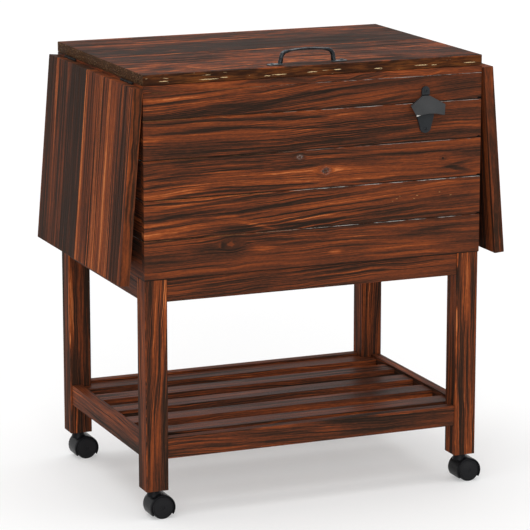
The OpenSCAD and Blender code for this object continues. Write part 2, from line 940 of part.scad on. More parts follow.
module leaf_plate_pocket() {
  translate([leaf_px, 0, leaf_pz])
    both_ends(leaf_hinge_y) {
      rod_y(leaf_clear, leaf_hinge_w + 1);
      box([-leaf_pivot_out - leaf_plate_t, -leaf_hinge_w / 2 - set_gap,
           -leaf_plate_len - set_gap], [cut, leaf_hinge_w / 2 + set_gap, 0]);
    }
}

module leaf_hinge_plates() {
  seg = leaf_hinge_w / 3 - segment_gap;
  color(iron)
    both_sides()
      translate([leaf_px, 0, leaf_pz])
        both_ends(leaf_hinge_y) {
          for (s = [-1, 1])
            translate([0, s * leaf_hinge_w / 3, 0])
              rod_y(leaf_knuckle_r, seg);
          rod_y(leaf_pin_r, leaf_hinge_w - segment_gap);
          difference() {
            box([-leaf_pivot_out - leaf_plate_t, -leaf_hinge_w / 2, -leaf_plate_len],
                [-leaf_pivot_out, leaf_hinge_w / 2, 0]);
            rod_y(leaf_clear, leaf_hinge_w / 3 + segment_gap);
          }
        }
}

module leaf_hinge_straps(s) {
  seg = leaf_hinge_w / 3 - segment_gap;
  color(iron)
    hang_leaf(s)
      both_ends(leaf_hinge_y)
        difference() {
          union() {
            rod_y(leaf_knuckle_r, seg);
            difference() {
              box([0, -leaf_hinge_w / 2, leaf_gap],
                  [leaf_plate_len, leaf_hinge_w / 2, leaf_gap + leaf_plate_t]);
              for (e = [-1, 1])
                translate([0, e * leaf_hinge_w / 3, 0])
                  rod_y(leaf_clear, leaf_hinge_w / 3 + segment_gap);
            }
          }
          rod_y(leaf_pin_r + turn_fit, leaf_hinge_w + 2);
        }
}

// Rubber bumpers that the hanging leaf's batten rests on

module leaf_bumpers() {
  a = leaf_lean;
  s_mid = leaf_batten_s + leaf_batten_w / 2;
  face = leaf_gap - leaf_batten_t;           // batten's face in the leaf's frame
  z_mid = -s_mid * cos(a) + face * sin(a);
  // distance of the batten from the wall beside the bumper's upper edge
  s_up = s_mid - bumper_r;
  h = s_up * sin(a) + face * cos(a) + leaf_pivot_out - set_gap;
  color(rubber)
    both_sides()
      both_ends(bumper_y)
        translate([half_w, 0, leaf_pz + z_mid])
          rotate([0, 90, 0])
            rotate_extrude($fn = 64)
              polygon([[0, 0], [bumper_r, 0], [bumper_r, h - 1], [bumper_r - 1, h], [0, h]]);
}

// Stays. They are drawn folded, seen from the leaf's pivot line.

module stay_brackets() {
  ear_y = stay_w / 2 + ear_gap;
  color(iron)
    both_sides()
      translate([leaf_px, 0, leaf_pz - stay_drop])
        both_ends(stay_y) {
          box([-leaf_pivot_out, -ear_y - ear_t, -bracket_down],
              [strap_t - leaf_pivot_out, ear_y + ear_t, bracket_up]);
          for (s = [-1, 1])
            translate([0, s * (ear_y + ear_t / 2), 0]) {
              translate([stay_px, 0, 0])
                rod_y(eye_r, ear_t);
              box([-leaf_pivot_out, -ear_t / 2, -eye_r], [stay_px, ear_t / 2, eye_r]);
            }
          translate([stay_px, 0, 0])
            rod_y(stay_pin_r, 2 * ear_y + ear_t);
        }
}

module stay_arms(s) {
  color(iron)
    on_side(s)
      translate([leaf_px + stay_px, 0, leaf_pz - stay_drop])
        rotate([0, -stay_rest, 0])
          both_ends(stay_y)
            difference() {
              union() {
                rod_y(eye_r, stay_w);
                box([-stay_t / 2, -stay_w / 2, -stay_len], [stay_t / 2, stay_w / 2, 0]);
                translate([0, 0, -stay_len])
                  rod_y(roller_r, stay_w);
              }
              rod_y(stay_pin_r + turn_fit, stay_w + 2);
            }
}

module stay_seats(s) {
  catch_x = roller_x + roller_r + catch_gap;
  x0 = roller_x - roller_r - 5;
  color(iron)
    hang_leaf(s)
      both_ends(stay_y) {
        box([x0, -seat_w / 2, leaf_gap - strap_t],
            [roller_x + seat_len, seat_w / 2, leaf_gap]);
        box([catch_x, -seat_w / 2, leaf_gap - strap_t - catch_deep],
            [catch_x + catch_len, seat_w / 2, leaf_gap - strap_t + 0.5]);
      }
}

// Casters

module caster_sockets() {
  color(steel)
    for (c = CORNERS)
      translate([c[1] * leg_x, c[2] * leg_y, caster_h])
        difference() {
          union() {
            translate([0, 0, -socket_flange_t])
              cylinder(r = neck_r - 1, h = socket_flange_t, $fn = 48);
            translate([0, 0, -socket_flange_t / 2])
              cylinder(r = socket_r, h = stem_len + 3 + socket_flange_t / 2, $fn = 48);
          }
          translate([0, 0, -socket_flange_t - cut])
            cylinder(r = stem_r + turn_fit, h = stem_len + 1.5 + socket_flange_t + cut, $fn = 48);
        }
}

module caster(c) {
  neck_z = caster_h - socket_flange_t - set_gap;
  color(iron)
    translate([c[1] * leg_x, c[2] * leg_y, 0])
      difference() {
        union() {
          translate([trail, 0, axle_z])
            rod_y(hood_r, 2 * hood_half_w);
          translate([0, 0, axle_z])
            cylinder(r = neck_r, h = neck_z - axle_z, $fn = 64);
          translate([0, 0, neck_z - cut])
            cylinder(r = stem_r, h = stem_len + caster_h - neck_z + cut, $fn = 48);
        }
        for (s = [-1, 1])
          translate([trail, s * (web_t / 2 + hood_half_w), axle_z])
            rod_y(pocket_r, 2 * hood_half_w);
        translate([trail, 0, axle_z])
          rod_y(axle_r + turn_fit, 2 * hood_half_w);
        box([trail - 2 * hood_r, -2 * hood_r, -hood_r], [trail + 2 * hood_r, 2 * hood_r, axle_z - hood_cut]);
      }
}

module wheels(c) {
  color(rubber)
    translate([c[1] * leg_x + trail, c[2] * leg_y, axle_z])
      rotate([90, 0, 0])
        rotate_extrude($fn = 96)
          polygon([[0, wheel_half - 1.5], [wheel_r - 5, wheel_half - 1.5], [wheel_r - 4, wheel_half],
                   [wheel_r - 1.5, wheel_half], [wheel_r, wheel_half - 1.5],
                   [wheel_r, wheel_half - wheel_t + 1], [wheel_r - 1, wheel_half - wheel_t],
                   [axle_r, wheel_half - wheel_t],
                   [axle_r, wheel_t - wheel_half],
                   [wheel_r - 1, wheel_t - wheel_half], [wheel_r, wheel_t - wheel_half - 1],
                   [wheel_r, 1.5 - wheel_half], [wheel_r - 1.5, -wheel_half],
                   [wheel_r - 4, -wheel_half], [wheel_r - 5, 1.5 - wheel_half],
                   [0, 1.5 - wheel_half]]);
}

for (c = CORNERS) {
  leg(c[1], c[2]);
  caster(c);
  wheels(c);
}
rail_x(-1, base_z - apron_h, apron_h);  // apron_front
rail_x(1, base_z - apron_h, apron_h);  // apron_back
rail_y(-1, base_z - apron_h, apron_h);  // apron_left
rail_y(1, base_z - apron_h, apron_h);  // apron_right
rail_x(-1, shelf_z, shelf_rail_h);  // shelf_rail_front
rail_x(1, shelf_z, shelf_rail_h);  // shelf_rail_back
rail_y(-1, shelf_z, shelf_rail_h);  // shelf_rail_left
rail_y(1, shelf_z, shelf_rail_h);  // shelf_rail_right
shelf_cleats();
for (i = [0 : slat_n - 1])
  shelf_slat(i);
front_boards();
back_boards();
side_boards(-1);  // left_boards
side_boards(1);  // right_boards
top_rim();
floor_panel();
insulation();
tub();
lid_gasket();
drain_spigot();
drain_nut();
drain_cap();
lid_boards();
lid_battens();
lid_foam();
lid_liner();
lid_hinge_plates();
lid_hinge_straps();
lid_handle();
handle_screws();
bottle_opener();
opener_screws();
leaf(-1);  // leaf_left
leaf(1);  // leaf_right
leaf_hinge_plates();
leaf_hinge_straps(-1);  // leaf_hinge_straps_left
leaf_hinge_straps(1);  // leaf_hinge_straps_right
stay_brackets();
stay_arms(-1);  // stay_arms_left
stay_arms(1);  // stay_arms_right
stay_seats(-1);  // stay_seats_left
stay_seats(1);  // stay_seats_right
leaf_bumpers();
caster_sockets();
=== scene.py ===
import math

import bmesh
import bpy
from mathutils import Matrix, Vector, noise


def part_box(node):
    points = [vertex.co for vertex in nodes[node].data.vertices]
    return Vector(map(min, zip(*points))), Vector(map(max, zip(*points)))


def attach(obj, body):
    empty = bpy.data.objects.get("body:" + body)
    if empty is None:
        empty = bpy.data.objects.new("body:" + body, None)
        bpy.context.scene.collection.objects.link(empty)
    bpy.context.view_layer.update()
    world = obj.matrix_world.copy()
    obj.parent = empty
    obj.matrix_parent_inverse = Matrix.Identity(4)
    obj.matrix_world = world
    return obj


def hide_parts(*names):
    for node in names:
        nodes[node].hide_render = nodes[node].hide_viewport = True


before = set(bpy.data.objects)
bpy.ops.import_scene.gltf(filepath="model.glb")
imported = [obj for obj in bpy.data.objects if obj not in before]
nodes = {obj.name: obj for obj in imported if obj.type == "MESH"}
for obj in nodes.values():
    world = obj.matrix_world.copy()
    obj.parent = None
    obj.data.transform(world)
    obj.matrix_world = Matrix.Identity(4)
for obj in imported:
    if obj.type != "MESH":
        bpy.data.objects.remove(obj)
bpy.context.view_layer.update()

scene = bpy.context.scene
MM = 0.001
X, Y, Z = (1, 0, 0), (0, 1, 0), (0, 0, 1)

# Sizes read from the frame, with the boards' pitch and the hanging leaves' lean
cabinet_lo, cabinet_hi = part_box("front_boards")
front_y = cabinet_lo.y
half_w = cabinet_hi.x
half_d = -front_y
base_z = cabinet_lo.z
wall_z = cabinet_hi.z
rim_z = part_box("top_rim")[1].z
lid_lo, lid_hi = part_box("lid_boards")
lid_top = lid_hi.z
board_w = 69.5 * MM
lean = math.radians(4.8)


# Camera

def look(position, target, lens):
    camera = bpy.data.objects.new("camera", bpy.data.cameras.new("camera"))
    scene.collection.objects.link(camera)
    camera.location = position
    camera.rotation_euler = (Vector(target) - Vector(position)).to_track_quat("-Z", "Y").to_euler()
    camera.data.lens = lens
    camera.data.sensor_width = 36
    camera.data.clip_end = 100
    scene.camera = camera


look(position=(-1.9364, -4.6381, 1.4940), target=(-0.00256, 0.0, 0.3859), lens=190.9)


# Node arithmetic: a Signal is a value in a material's nodes

class Signal:
    def __init__(self, web, out):
        self.web = web
        self.out = out

    def do(self, kind, *others):
        return self.web.math(kind, self, *others)

    def __add__(self, x):
        return self.do("ADD", x)

    def __sub__(self, x):
        return self.do("SUBTRACT", x)

    def __mul__(self, x):
        return self.do("MULTIPLY", x)

    def __truediv__(self, x):
        return self.do("DIVIDE", x)

    def __rsub__(self, x):
        return self.web.math("SUBTRACT", x, self)

    def __neg__(self):
        return self.do("MULTIPLY", -1.0)

    __radd__ = __add__
    __rmul__ = __mul__

    def above(self, low, high):
        """0 below low, 1 above high, smooth between them."""
        n = self.web.node("ShaderNodeMapRange", interpolation_type="SMOOTHSTEP")
        self.web.put(n.inputs["Value"], self)
        n.inputs["From Min"].default_value = low
        n.inputs["From Max"].default_value = high
        return Signal(self.web, n.outputs["Result"])


class Web:
    """The nodes of one material, ending in one Principled shader."""

    def __init__(self, name):
        self.material = bpy.data.materials.new(name)
        self.material.use_nodes = True
        self.tree = self.material.node_tree
        self.shader = self.tree.nodes["Principled BSDF"]

    def node(self, kind, **settings):
        n = self.tree.nodes.new(kind)
        for name, value in settings.items():
            setattr(n, name, value)
        return n

    def put(self, socket, x):
        if isinstance(x, Signal):
            self.tree.links.new(x.out, socket)
        else:
            socket.default_value = x

    def math(self, kind, *parts):
        n = self.node("ShaderNodeMath", operation=kind)
        for socket, x in zip(n.inputs, parts):
            self.put(socket, x)
        return Signal(self, n.outputs[0])

    def place(self, origin=(0, 0, 0), axes=(X, Y, Z)):
        """The place in the shared frame, measured from origin along three directions."""
        coord = self.node("ShaderNodeTexCoord")
        away = self.node("ShaderNodeVectorMath", operation="SUBTRACT")
        self.tree.links.new(coord.outputs["Object"], away.inputs[0])
        away.inputs[1].default_value = origin
        parts = []
        for axis in axes:
            dot = self.node("ShaderNodeVectorMath", operation="DOT_PRODUCT")
            self.tree.links.new(away.outputs[0], dot.inputs[0])
            dot.inputs[1].default_value = axis
            parts.append(Signal(self, dot.outputs["Value"]))
        return parts

    def texture(self, kind, x, y, z, **settings):
        """A texture node that is read at a place, at a scale of 1."""
        v = self.node("ShaderNodeCombineXYZ")
        for socket, part in zip(v.inputs, (x, y, z)):
            self.put(socket, part)
        n = self.node(kind, **settings)
        self.tree.links.new(v.outputs[0], n.inputs["Vector"])
        n.inputs["Scale"].default_value = 1.0
        return n

    def noise(self, x, y, z=0.0, detail=2.0, rough=0.5):
        n = self.texture("ShaderNodeTexNoise", x, y, z)
        n.inputs["Detail"].default_value = detail
        n.inputs["Roughness"].default_value = rough
        return Signal(self, n.outputs["Fac"])

    def cells(self, x, y, z, feature="F1"):
        n = self.texture("ShaderNodeTexVoronoi", x, y, z, feature=feature)
        return Signal(self, n.outputs["Distance"])

    def ramp(self, x, stops):
        n = self.node("ShaderNodeValToRGB")
        marks = n.color_ramp.elements
        while len(marks) < len(stops):
            marks.new(0.5)
        for mark, (at, colour) in zip(marks, stops):
            mark.position = at
            mark.color = (*colour, 1.0)
        self.put(n.inputs[0], x)
        return Signal(self, n.outputs[0])

    def mix(self, share, a, b):
        n = self.node("ShaderNodeMix", data_type="RGBA")
        self.put(n.inputs[0], share)
        for socket, x in ((n.inputs[6], a), (n.inputs[7], b)):
            self.put(socket, x if isinstance(x, Signal) else (*x, 1.0))
        return Signal(self, n.outputs[2])

    def surface(self, colour, rough, height, depth):
        self.put(self.shader.inputs["Base Color"], colour)
        self.put(self.shader.inputs["Roughness"], rough)
        bump = self.node("ShaderNodeBump")
        bump.inputs["Strength"].default_value = 1.0
        bump.inputs["Distance"].default_value = depth
        self.put(bump.inputs["Height"], height)
        self.tree.links.new(bump.outputs[0], self.shader.inputs["Normal"])

    def set(self, **values):
        for name, value in values.items():
            self.shader.inputs[name.replace("_", " ")].default_value = value
        return self.material


# Torched fir

TORCHED = [(0.0, (0.019, 0.0125, 0.009)), (0.22, (0.033, 0.017, 0.011)), (0.38, (0.067, 0.024, 0.013)),
           (0.54, (0.124, 0.034, 0.0145)), (0.72, (0.208, 0.050, 0.016)), (0.88, (0.32, 0.078, 0.021)),
           (1.0, (0.50, 0.155, 0.050))]
GOLDEN = [(0.30, (0.018, 0.008, 0.005)), (0.5, (0.048, 0.017, 0.007)), (0.72, (0.14, 0.046, 0.012))]
END_GRAIN = [(0.35, (0.016, 0.009, 0.006)), (0.50, (0.050, 0.023, 0.010)), (0.60, (0.095, 0.040, 0.015)),
             (0.65, (0.30, 0.16, 0.06)), (0.70, (0.55, 0.42, 0.26))]
PALE_CHIP = (0.62, 0.45, 0.24)
# Tan and grey: the colours of scratches and ash, and of the painted highlights on the seams and on the
# opener's lip.
TAN_SCRATCH_AND_GLINT = (0.42, 0.20, 0.075)
# Painted shade for the dark gap at the right ends of the front boards' seams
NOTCH_SHADE = (0.004, 0.0035, 0.003)
GREY_ASH_AND_GLINT = (0.52, 0.50, 0.47)


def off(x, at, size):
    """How far x is from a place, as a multiple of a size. Both are in mm."""
    return (x - at * MM) * (1000.0 / size)


def stroke(u, v, u0, v0, long, wide, slope=0.0):
    """1 along a line on a board, 0 away from it. Sizes are in mm."""
    du = off(u, u0, long)
    dv = off(v, v0, wide)
    if slope:
        dv = dv - (u - u0 * MM) * (slope * 1000.0 / wide)
    d = du * du + dv * dv
    return (-(d * d)).do("EXPONENT")


def dab(u, v, w, at, long, wide):
    """1 inside an ellipsoid at a place, 0 outside. Sizes are in mm."""
    du = off(u, at[0], long)
    dv = off(v, at[1], wide)
    dw = off(w, at[2], wide)
    return 1.0 - (du * du + dv * dv + dw * dw).above(0.5, 1.0)


def torched(name, origin, along, across, seed, tone=0.52, contrast=1.0, slope=0.0, wave=1.0,
            grain=1.0, short=1.0, lines=1.0, fine=1.0, coarse=1.0, fibres=1.3, char=0.10, deep=0.4,
            knots=(), marks=(), dabs=(), seams=(), edge=None, end=None, chips_and_glints=0.0, gilt=0.0, quiet=0.0,
            gloss=0.03, rough=0.5):
    """Fir board with its grain along one direction. seed moves its noise to a place of its own.

    tone is the level of the colour, contrast the strength of the broad bands, and char that of
    the black ones. slope is how much the grain rises along the board, wave how much it sways, and
    deep how it runs on into the wood. grain and short make it closer across and along. lines and
    fine are the strength of the dark and the thin lines. fibres is the strength of the finest
    ones, and coarse widens them. quiet smooths the grain towards the far end.

    knots, marks and dabs are in mm. knots are (along, across, radius, heart's tone, ash). marks
    darken or lighten the board along short lines: (along, across, half length, half width,
    amount, slope). dabs are spots of one colour: (along, across, out, half length, half width,
    colour). seams are pale lines in m, a painted highlight where the chamfer over a seam catches
    the light: (across, half width, strength).

    edge is half of the board's width, where its lower edge, over the groove, is darkened as a
    painted shadow, and end is half of its length, where the end grain shows. chips is how much of
    its surface is chipped, and gilt how golden its edges are."""
    web = Web(name)
    through = tuple(Vector(along).cross(Vector(across)))
    u, v, w = web.place(origin, (along, across, through))
    flow = v + w * deep - u * slope
    for u0, v0, r, heart, ash in knots:
        level = (v0 - u0 * slope) * MM
        near = off(u, u0, 2.6 * r)
        pull = (-(near * near)).do("EXPONENT") * (r * r * 1.6 * MM * MM)
        d = flow - level
        flow = (d * d - pull).do("MAXIMUM", 0.0).do("SQRT") * d.do("SIGN") + level
    sway = web.noise(u * 1.9, flow * 5, seed, detail=0.0) - 0.5
    ripple = web.noise(u * 6, flow * 15, seed + 5) - 0.5
    shiver = web.noise(u * 26, flow * 60, seed + 8, detail=1.0) - 0.5
    ring = flow + sway * (30 * MM * wave) + ripple * (12 * MM * wave) + shiver * (3 * MM)
    trace = v + ripple * (8 * MM) + shiver * (3 * MM)

    broad = web.noise(u * (1.3 * short), ring * (25 * grain), seed * 1.7, rough=0.6) - 0.5
    drawn = web.noise(u * (2.2 * short), ring * (150 * grain), seed * 2.3)
    where = web.noise(u * (2.4 * short), ring * (17 * grain), seed + 31, detail=1.0).above(0.36, 0.60)
    dark = drawn.above(0.52, 0.57) * (where * 0.85 + 0.15)
    rim = (drawn.above(0.42, 0.50) - drawn.above(0.50, 0.54)) * where
    hair = web.noise(u * (4.5 * short), ring * (360 * grain), seed + 11, rough=0.6)
    busy = web.noise(u * (1.9 * short), ring * (13 * grain), seed + 47, detail=1.0).above(0.38, 0.62)
    thin = hair.above(0.48, 0.56) * (busy * 0.8 + 0.2)
    glow = web.noise(u * (1.7 * short), ring * (66 * grain), seed + 17).above(0.53, 0.70)
    coal = web.noise(u * (1.5 * short), ring * (15 * grain), seed + 23).above(0.55, 0.68)
    thread = 680 / coarse
    grit = web.noise(u * 95, v * thread, w * thread + seed, rough=0.7) - 0.5
    calm = web.noise(u * (2.0 * short), ring * (19 * grain), seed + 57, detail=1.0).above(0.34, 0.58) + 0.15
    silk = web.noise(u * (8 * short), ring * (thread * 0.8), seed + 51, rough=0.75) - 0.5
    cloud = web.noise(u * 16, v * 45, w * 45 + seed) - 0.5
    if quiet:
        rest = 1.0 - (u + sway * 0.4).above(0.0, 0.2) * quiet
        dark = dark * rest
        thin = thin * rest
        calm = calm * rest

    value = (broad * contrast + tone + glow * (0.20 * contrast) + rim * (0.14 * lines)
             - dark * (0.36 * lines) - thin * (0.16 * fine) - coal * (char * contrast) + cloud * 0.22)
    for mark in marks:
        value = value + stroke(u, trace, *mark[:4], *mark[5:]) * (mark[4] * 0.62)
    ashes = []
    for u0, v0, r, heart, ash in knots:
        du = off(u, u0, 1.4 * r)
        dv = off(v, v0, r)
        ragged = web.noise(u * (900 / r), v * (1200 / r), seed + 43) - 0.5
        d = (du * du + dv * dv).do("SQRT") + ragged * 1.3
        halo = (-((d - 1.6) * (d - 1.6) * 1.4)).do("EXPONENT")
        core = 1.0 - d.above(0.4, 1.0)
        calm = calm * (d.above(0.6, 2.4) * 0.9 + 0.1)
        value = value * (1.0 - core * 0.6) - halo * 0.13 + core * heart
        fleck = web.noise(u * (2400 / r), v * (4200 / r), seed + 61, detail=1.0).above(0.45, 0.62)
        ashes.append((-((d - 0.8) * (d - 0.8) * 5.0)).do("EXPONENT") * fleck * ash)
    # Painted shadow: the board's lower edge, over the groove under it, is darkened, by more in some places
    # than in others.
    if edge:
        wear_and_painted_light = web.noise(u * 14, seed + 3).above(0.3, 0.6)
        value = value - (1.0 - (v + edge).above(0.6 * MM, 3.2 * MM)) * (wear_and_painted_light * 0.5 + 0.35)
    wisp = web.noise(u * 4, ring * 430, seed + 41, detail=1.0).above(0.54, 0.62)
    shade = 1.0 - value.above(0.15, 0.42)
    value = value.do("MAXIMUM", 0.12) + wisp * shade * 0.26 - thin * 0.09
    value = value + silk * calm * (1.05 * fibres) + grit * (0.38 * fibres)
    colour = web.ramp(value, TORCHED)
    for ash in ashes:
        colour = web.mix(ash, colour, GREY_ASH_AND_GLINT)

    height = grit * 0.6 - dark * 0.5 - thin * 0.35 + broad
    if gilt:
        speck = web.noise(u * 34, v * 420, w * 420 + seed, detail=3.0, rough=0.65)
        side = w.do("ABSOLUTE").above(0.8 * MM, 2.2 * MM)
        golden = web.ramp(speck + cloud * 0.5 - thin * 0.06 + broad * 0.3, GOLDEN)
        colour = web.mix(side * gilt, colour, golden)
    if end:
        pores = web.noise(u * 90, v * 420, w * 420 + seed, detail=3.0, rough=0.7)
        tip = u.do("ABSOLUTE").above(end - 1.0 * MM, end - 0.3 * MM)
        colour = web.mix(tip * 0.9, colour, web.ramp(pores, END_GRAIN))
    # Painted highlight: a pale line along each seam where the chamfer catches the light, tan towards the left
    # and grey and stronger towards the right.
    for at, wide, strength in seams:
        run = web.noise(u * 24, seed + at * 40, detail=4.0, rough=0.65)
        jag = web.noise(u * 70, seed + at * 90, detail=3.0) - 0.5
        line = (v - at + jag * (1.2 * MM)).do("ABSOLUTE") / (run.above(0.38, 0.66) * 0.8 + 0.3)
        right = (u + 0.15 * web.noise(u * 5, seed + 2, detail=1.0)).above(-0.10, 0.16)
        mask = (1.0 - line.above(wide * 0.3, wide)) * run.above(0.36, 0.54) * (right * 0.5 + 0.45)
        colour = web.mix(mask * strength, colour, web.mix(right, TAN_SCRATCH_AND_GLINT, GREY_ASH_AND_GLINT))
    for u0, v0, w0, long, wide, paint in dabs:
        jag = (web.noise(u * 240, v * 500, w * 500 + seed, detail=3.0, rough=0.7) - 0.5) * (3.2 * wide * MM)
        colour = web.mix(dab(u, v + jag, w + jag, (u0, v0, w0), long, wide), colour, paint)
    if chips_and_glints:
        flake = web.noise(u * 45, v * 420, w * 420 + seed, rough=0.6)
        level = flake + w.above(-6 * MM, 0.0) * -0.05
        mask = level.above(0.73 - 0.06 * chips_and_glints, 0.76 - 0.06 * chips_and_glints)
        colour = web.mix(mask * 0.8, colour, PALE_CHIP)
        height = height - mask * 1.5
    web.surface(colour, rough + dark * 0.10 + grit * 0.15, height, depth=0.35 * MM)
    return web.set(Specular_IOR_Level=gloss)


def dress(name, *materials):
    """Gives a CAD node its materials."""
    mesh = nodes[name].data
    mesh.materials.clear()
    for m in materials:
        mesh.materials.append(m)
    for p in mesh.polygons:
        p.material_index = 0


def sort_faces(name, which):
    """Gives each face of a CAD node the material slot that which(centre) returns."""
    mesh = nodes[name].data
    for p in mesh.polygons:
        p.material_index = which(p.center)


def bevel_edges(ob, width, segments, angle):
    """Rounds the edges that turn by more than an angle."""
    bevel = ob.modifiers.new("bevel", "BEVEL")
    bevel.width = width
    bevel.segments = segments
    bevel.limit_method = "ANGLE"
    bevel.angle_limit = math.radians(angle)


def soften(name, width=0.6 * MM):
    """Rounds a CAD node's sharp edges a little."""
    weld = nodes[name].modifiers.new("weld", "WELD")
    weld.merge_threshold = 0.01 * MM
    bevel_edges(nodes[name], width, 2, 35)


# Wall boards

def board_of(z):
    return max(0, min(4, int((z - base_z) / board_w)))


# Small scratches on the second board: (along, up, half length)
SCRATCHES = ((156, 5, 2.4), (162, 9, 1.5), (190, 3, 2.0), (196, 8, 3.0), (240, 11, 2.0), (262, 4, 2.6),
             (148, 1, 1.4))

# The five front boards, from the lowest up
FRONT = [
    dict(tone=0.455, lines=0.6, fine=0.75, knots=((-160, 18, 7.0, 0.60, 0.0),),
         marks=((-172, 9, 52, 13, -0.36), (-205, 20, 45, 6, -0.2), (-230, -18, 80, 1.7, -0.5, 0.03),
                (-105, 7, 28, 5, 0.35), (38, -12, 14, 3.2, 0.5), (175, -13, 100, 3, 0.3, 0.02),
                (222, 13, 50, 5, -0.35, 0.1), (-80, 21, 60, 2, -0.4, -0.05), (90, -22, 120, 2.4, -0.35))),
    dict(tone=0.55, slope=0.05, lines=0.9,
         dabs=[(at, up, 0, long, 0.55, TAN_SCRATCH_AND_GLINT) for at, up, long in SCRATCHES],
         marks=((-240, 18.5, 85, 3, -0.6, 0.06), (-120, 27.5, 95, 4.5, -0.7, 0.04),
                (-255, 5, 75, 2.3, -0.6, 0.085), (-250, 12, 65, 1.6, -0.4, 0.07),
                (-290, -7, 60, 2.5, 0.4, 0.06), (-280, -21, 75, 6, 0.3, 0.07),
                (-280, -14, 80, 1.5, -0.5, 0.07), (-167, -3, 25, 3, 0.45), (-150, -32, 40, 13, -0.6),
                (-108, -22, 34, 3, 0.4, -0.25), (10, -16, 90, 4.5, 0.35), (-20, -24, 60, 2, -0.5),
                (60, 9, 110, 3, 0.35, 0.06), (60, 3, 110, 1.6, -0.45, 0.06),
                (140, -29, 140, 3.5, -0.65, 0.03), (270, 2, 40, 10, -0.2))),
    dict(tone=0.57, lines=0.6, fine=0.7, char=0.0,
         knots=((-31, 23, 3.6, 0.0, 0.35), (18, -4, 5.5, -0.36, 0.16), (246, 2, 2.2, -0.5, 0.0)),
         marks=((-200, 31, 130, 4, -0.5), (-226, 24, 34, 4.5, -0.5, 0.03), (-210, 12, 120, 2.7, -0.65),
                (150, 22, 160, 2.6, 0.4, 0.01), (150, 15.5, 140, 2.4, -0.45, 0.01),
                (245, 4, 80, 11, 0.22), (150, 9, 130, 8, 0.35), (275, -9, 27, 4, -0.5, 0.18),
                (275, -17, 27, 4, -0.5, -0.2), (40, -6, 95, 13, 0.06),
                (170, -28, 140, 3.5, -0.6, 0.02), (-232, -22, 45, 3, 0.3),
                (-205, -28, 75, 3, -0.65, 0.06), (-90, -26, 95, 4, -0.65, 0.02),
                (-255, 3, 60, 8, -0.34, 0.04), (-120, -17, 70, 6, -0.22, 0.03),
                (-285, -14, 60, 9, -0.34, 0.04))),
    dict(tone=0.53, fine=1.9, char=0.05,
         marks=((-230, 28, 95, 2.6, -0.6), (-80, 24, 120, 2.6, -0.55, -0.03),
                (-215, 12, 95, 3.5, -0.65, 0.02), (-30, 6, 150, 2.4, -0.55, -0.06),
                (-309, 2, 24, 3, 0.45), (-70, 17, 160, 2.4, 0.35, -0.04), (60, 21, 45, 4, 0.25),
                (-235, -17, 120, 15, -0.42), (-60, -18, 110, 10, -0.2), (25, -23, 130, 3, -0.4, 0.03),
                (180, -23, 100, 3, -0.4, 0.03), (60, 11, 70, 2.2, -0.5, -0.02),
                (-90, 4, 200, 2.2, 0.3, -0.02))),
    dict(tone=0.55, slope=0.07, lines=0.7, fine=0.8,
         marks=((-250, 19.5, 80, 1.6, -0.7, 0.033), (-275, 12.5, 58, 3.4, 0.32, 0.024),
                (-245, 8, 88, 2.3, -0.7, 0.062), (-160, -3, 62, 7, -0.3, 0.12),
                (-92, -6, 88, 4, -0.8, 0.17), (5, 6, 75, 2.6, -0.55, 0.1), (-60, -22, 160, 2.2, -0.7),
                (100, 1, 100, 12, 0.14), (60, -21, 130, 2.4, -0.5, 0.02), (140, -13, 32, 3, -0.4, 0.1),
                (280, 0, 45, 18, -0.18))),
]

# How strong the painted highlight on the upper edge of each front board is, and how far they smooth out to
# the right
SEAM_HIGHLIGHT = (0.9, 1.0, 0.45, 0.8, 0.8)
FRONT_QUIET = 0.55


def wall_materials(side, along, face, seed):
    """The five boards of one wall, from the lowest up. face is the wall's outer face."""
    made = []
    for i in range(5):
        height = board_w if i < 4 else wall_z - base_z - 4 * board_w
        half = height / 2
        mid = base_z + i * board_w + half
        if side == "front":
            own = dict(FRONT[i], quiet=FRONT_QUIET)
            wear_and_painted_light = SEAM_HIGHLIGHT[i]
            if i:
                # Painted shade: a dark spot at the right end of the seam under the board, where the gap
                # between the boards is in shadow
                notch_shade = (317, 1.4 - half / MM, 0, 6, 3.4, NOTCH_SHADE)
                own["dabs"] = (*own.get("dabs", ()), notch_shade)
        else:
            own = dict(tone=0.54 + 0.05 * ((i * 7 + seed) % 3 - 1), slope=0.02 * ((i * 5 + seed) % 4 - 1.5))
            wear_and_painted_light = 0.5
            if (i + seed) % 2:
                own["knots"] = ((120 - 90 * ((i * 3 + seed) % 5), 8 - 6 * (i % 3), 6, 0.2, 0.0),)
        own["edge"] = half
        # The seam line is a painted highlight along the board's upper edge.
        own["seams"] = ((half - 0.6 * MM, 0.75 * MM, wear_and_painted_light),)
        made.append(torched(f"{side}_board_{i}", (*face, mid), along, Z, seed + 3.7 * i, **own))
    return made


for side, along, face, seed in (("front", X, (0, front_y), 2), ("back", (-1, 0, 0), (0, half_d), 19),
                                ("left", (0, -1, 0), (-half_w, 0), 37), ("right", Y, (half_w, 0), 53)):
    name = side + "_boards"
    dress(name, *wall_materials(side, along, face, seed))
    sort_faces(name, lambda c: board_of(c.z))


# Rim, lid and leaves

rim_mid = (rim_z + wall_z) / 2
dress("top_rim",
      torched("rim_along", (0, front_y, rim_mid), X, Y, 71, tone=0.62, contrast=0.7, lines=0.8),
      torched("rim_across", (-half_w, 0, rim_mid), Y, X, 73, tone=0.60, contrast=0.7, lines=0.8))
sort_faces("top_rim", lambda c: 1 if half_w - abs(c.x) < half_d - abs(c.y) else 0)
soften("top_rim", 0.8 * MM)

quarter_d = half_d / 2
half_lid = lid_hi.x
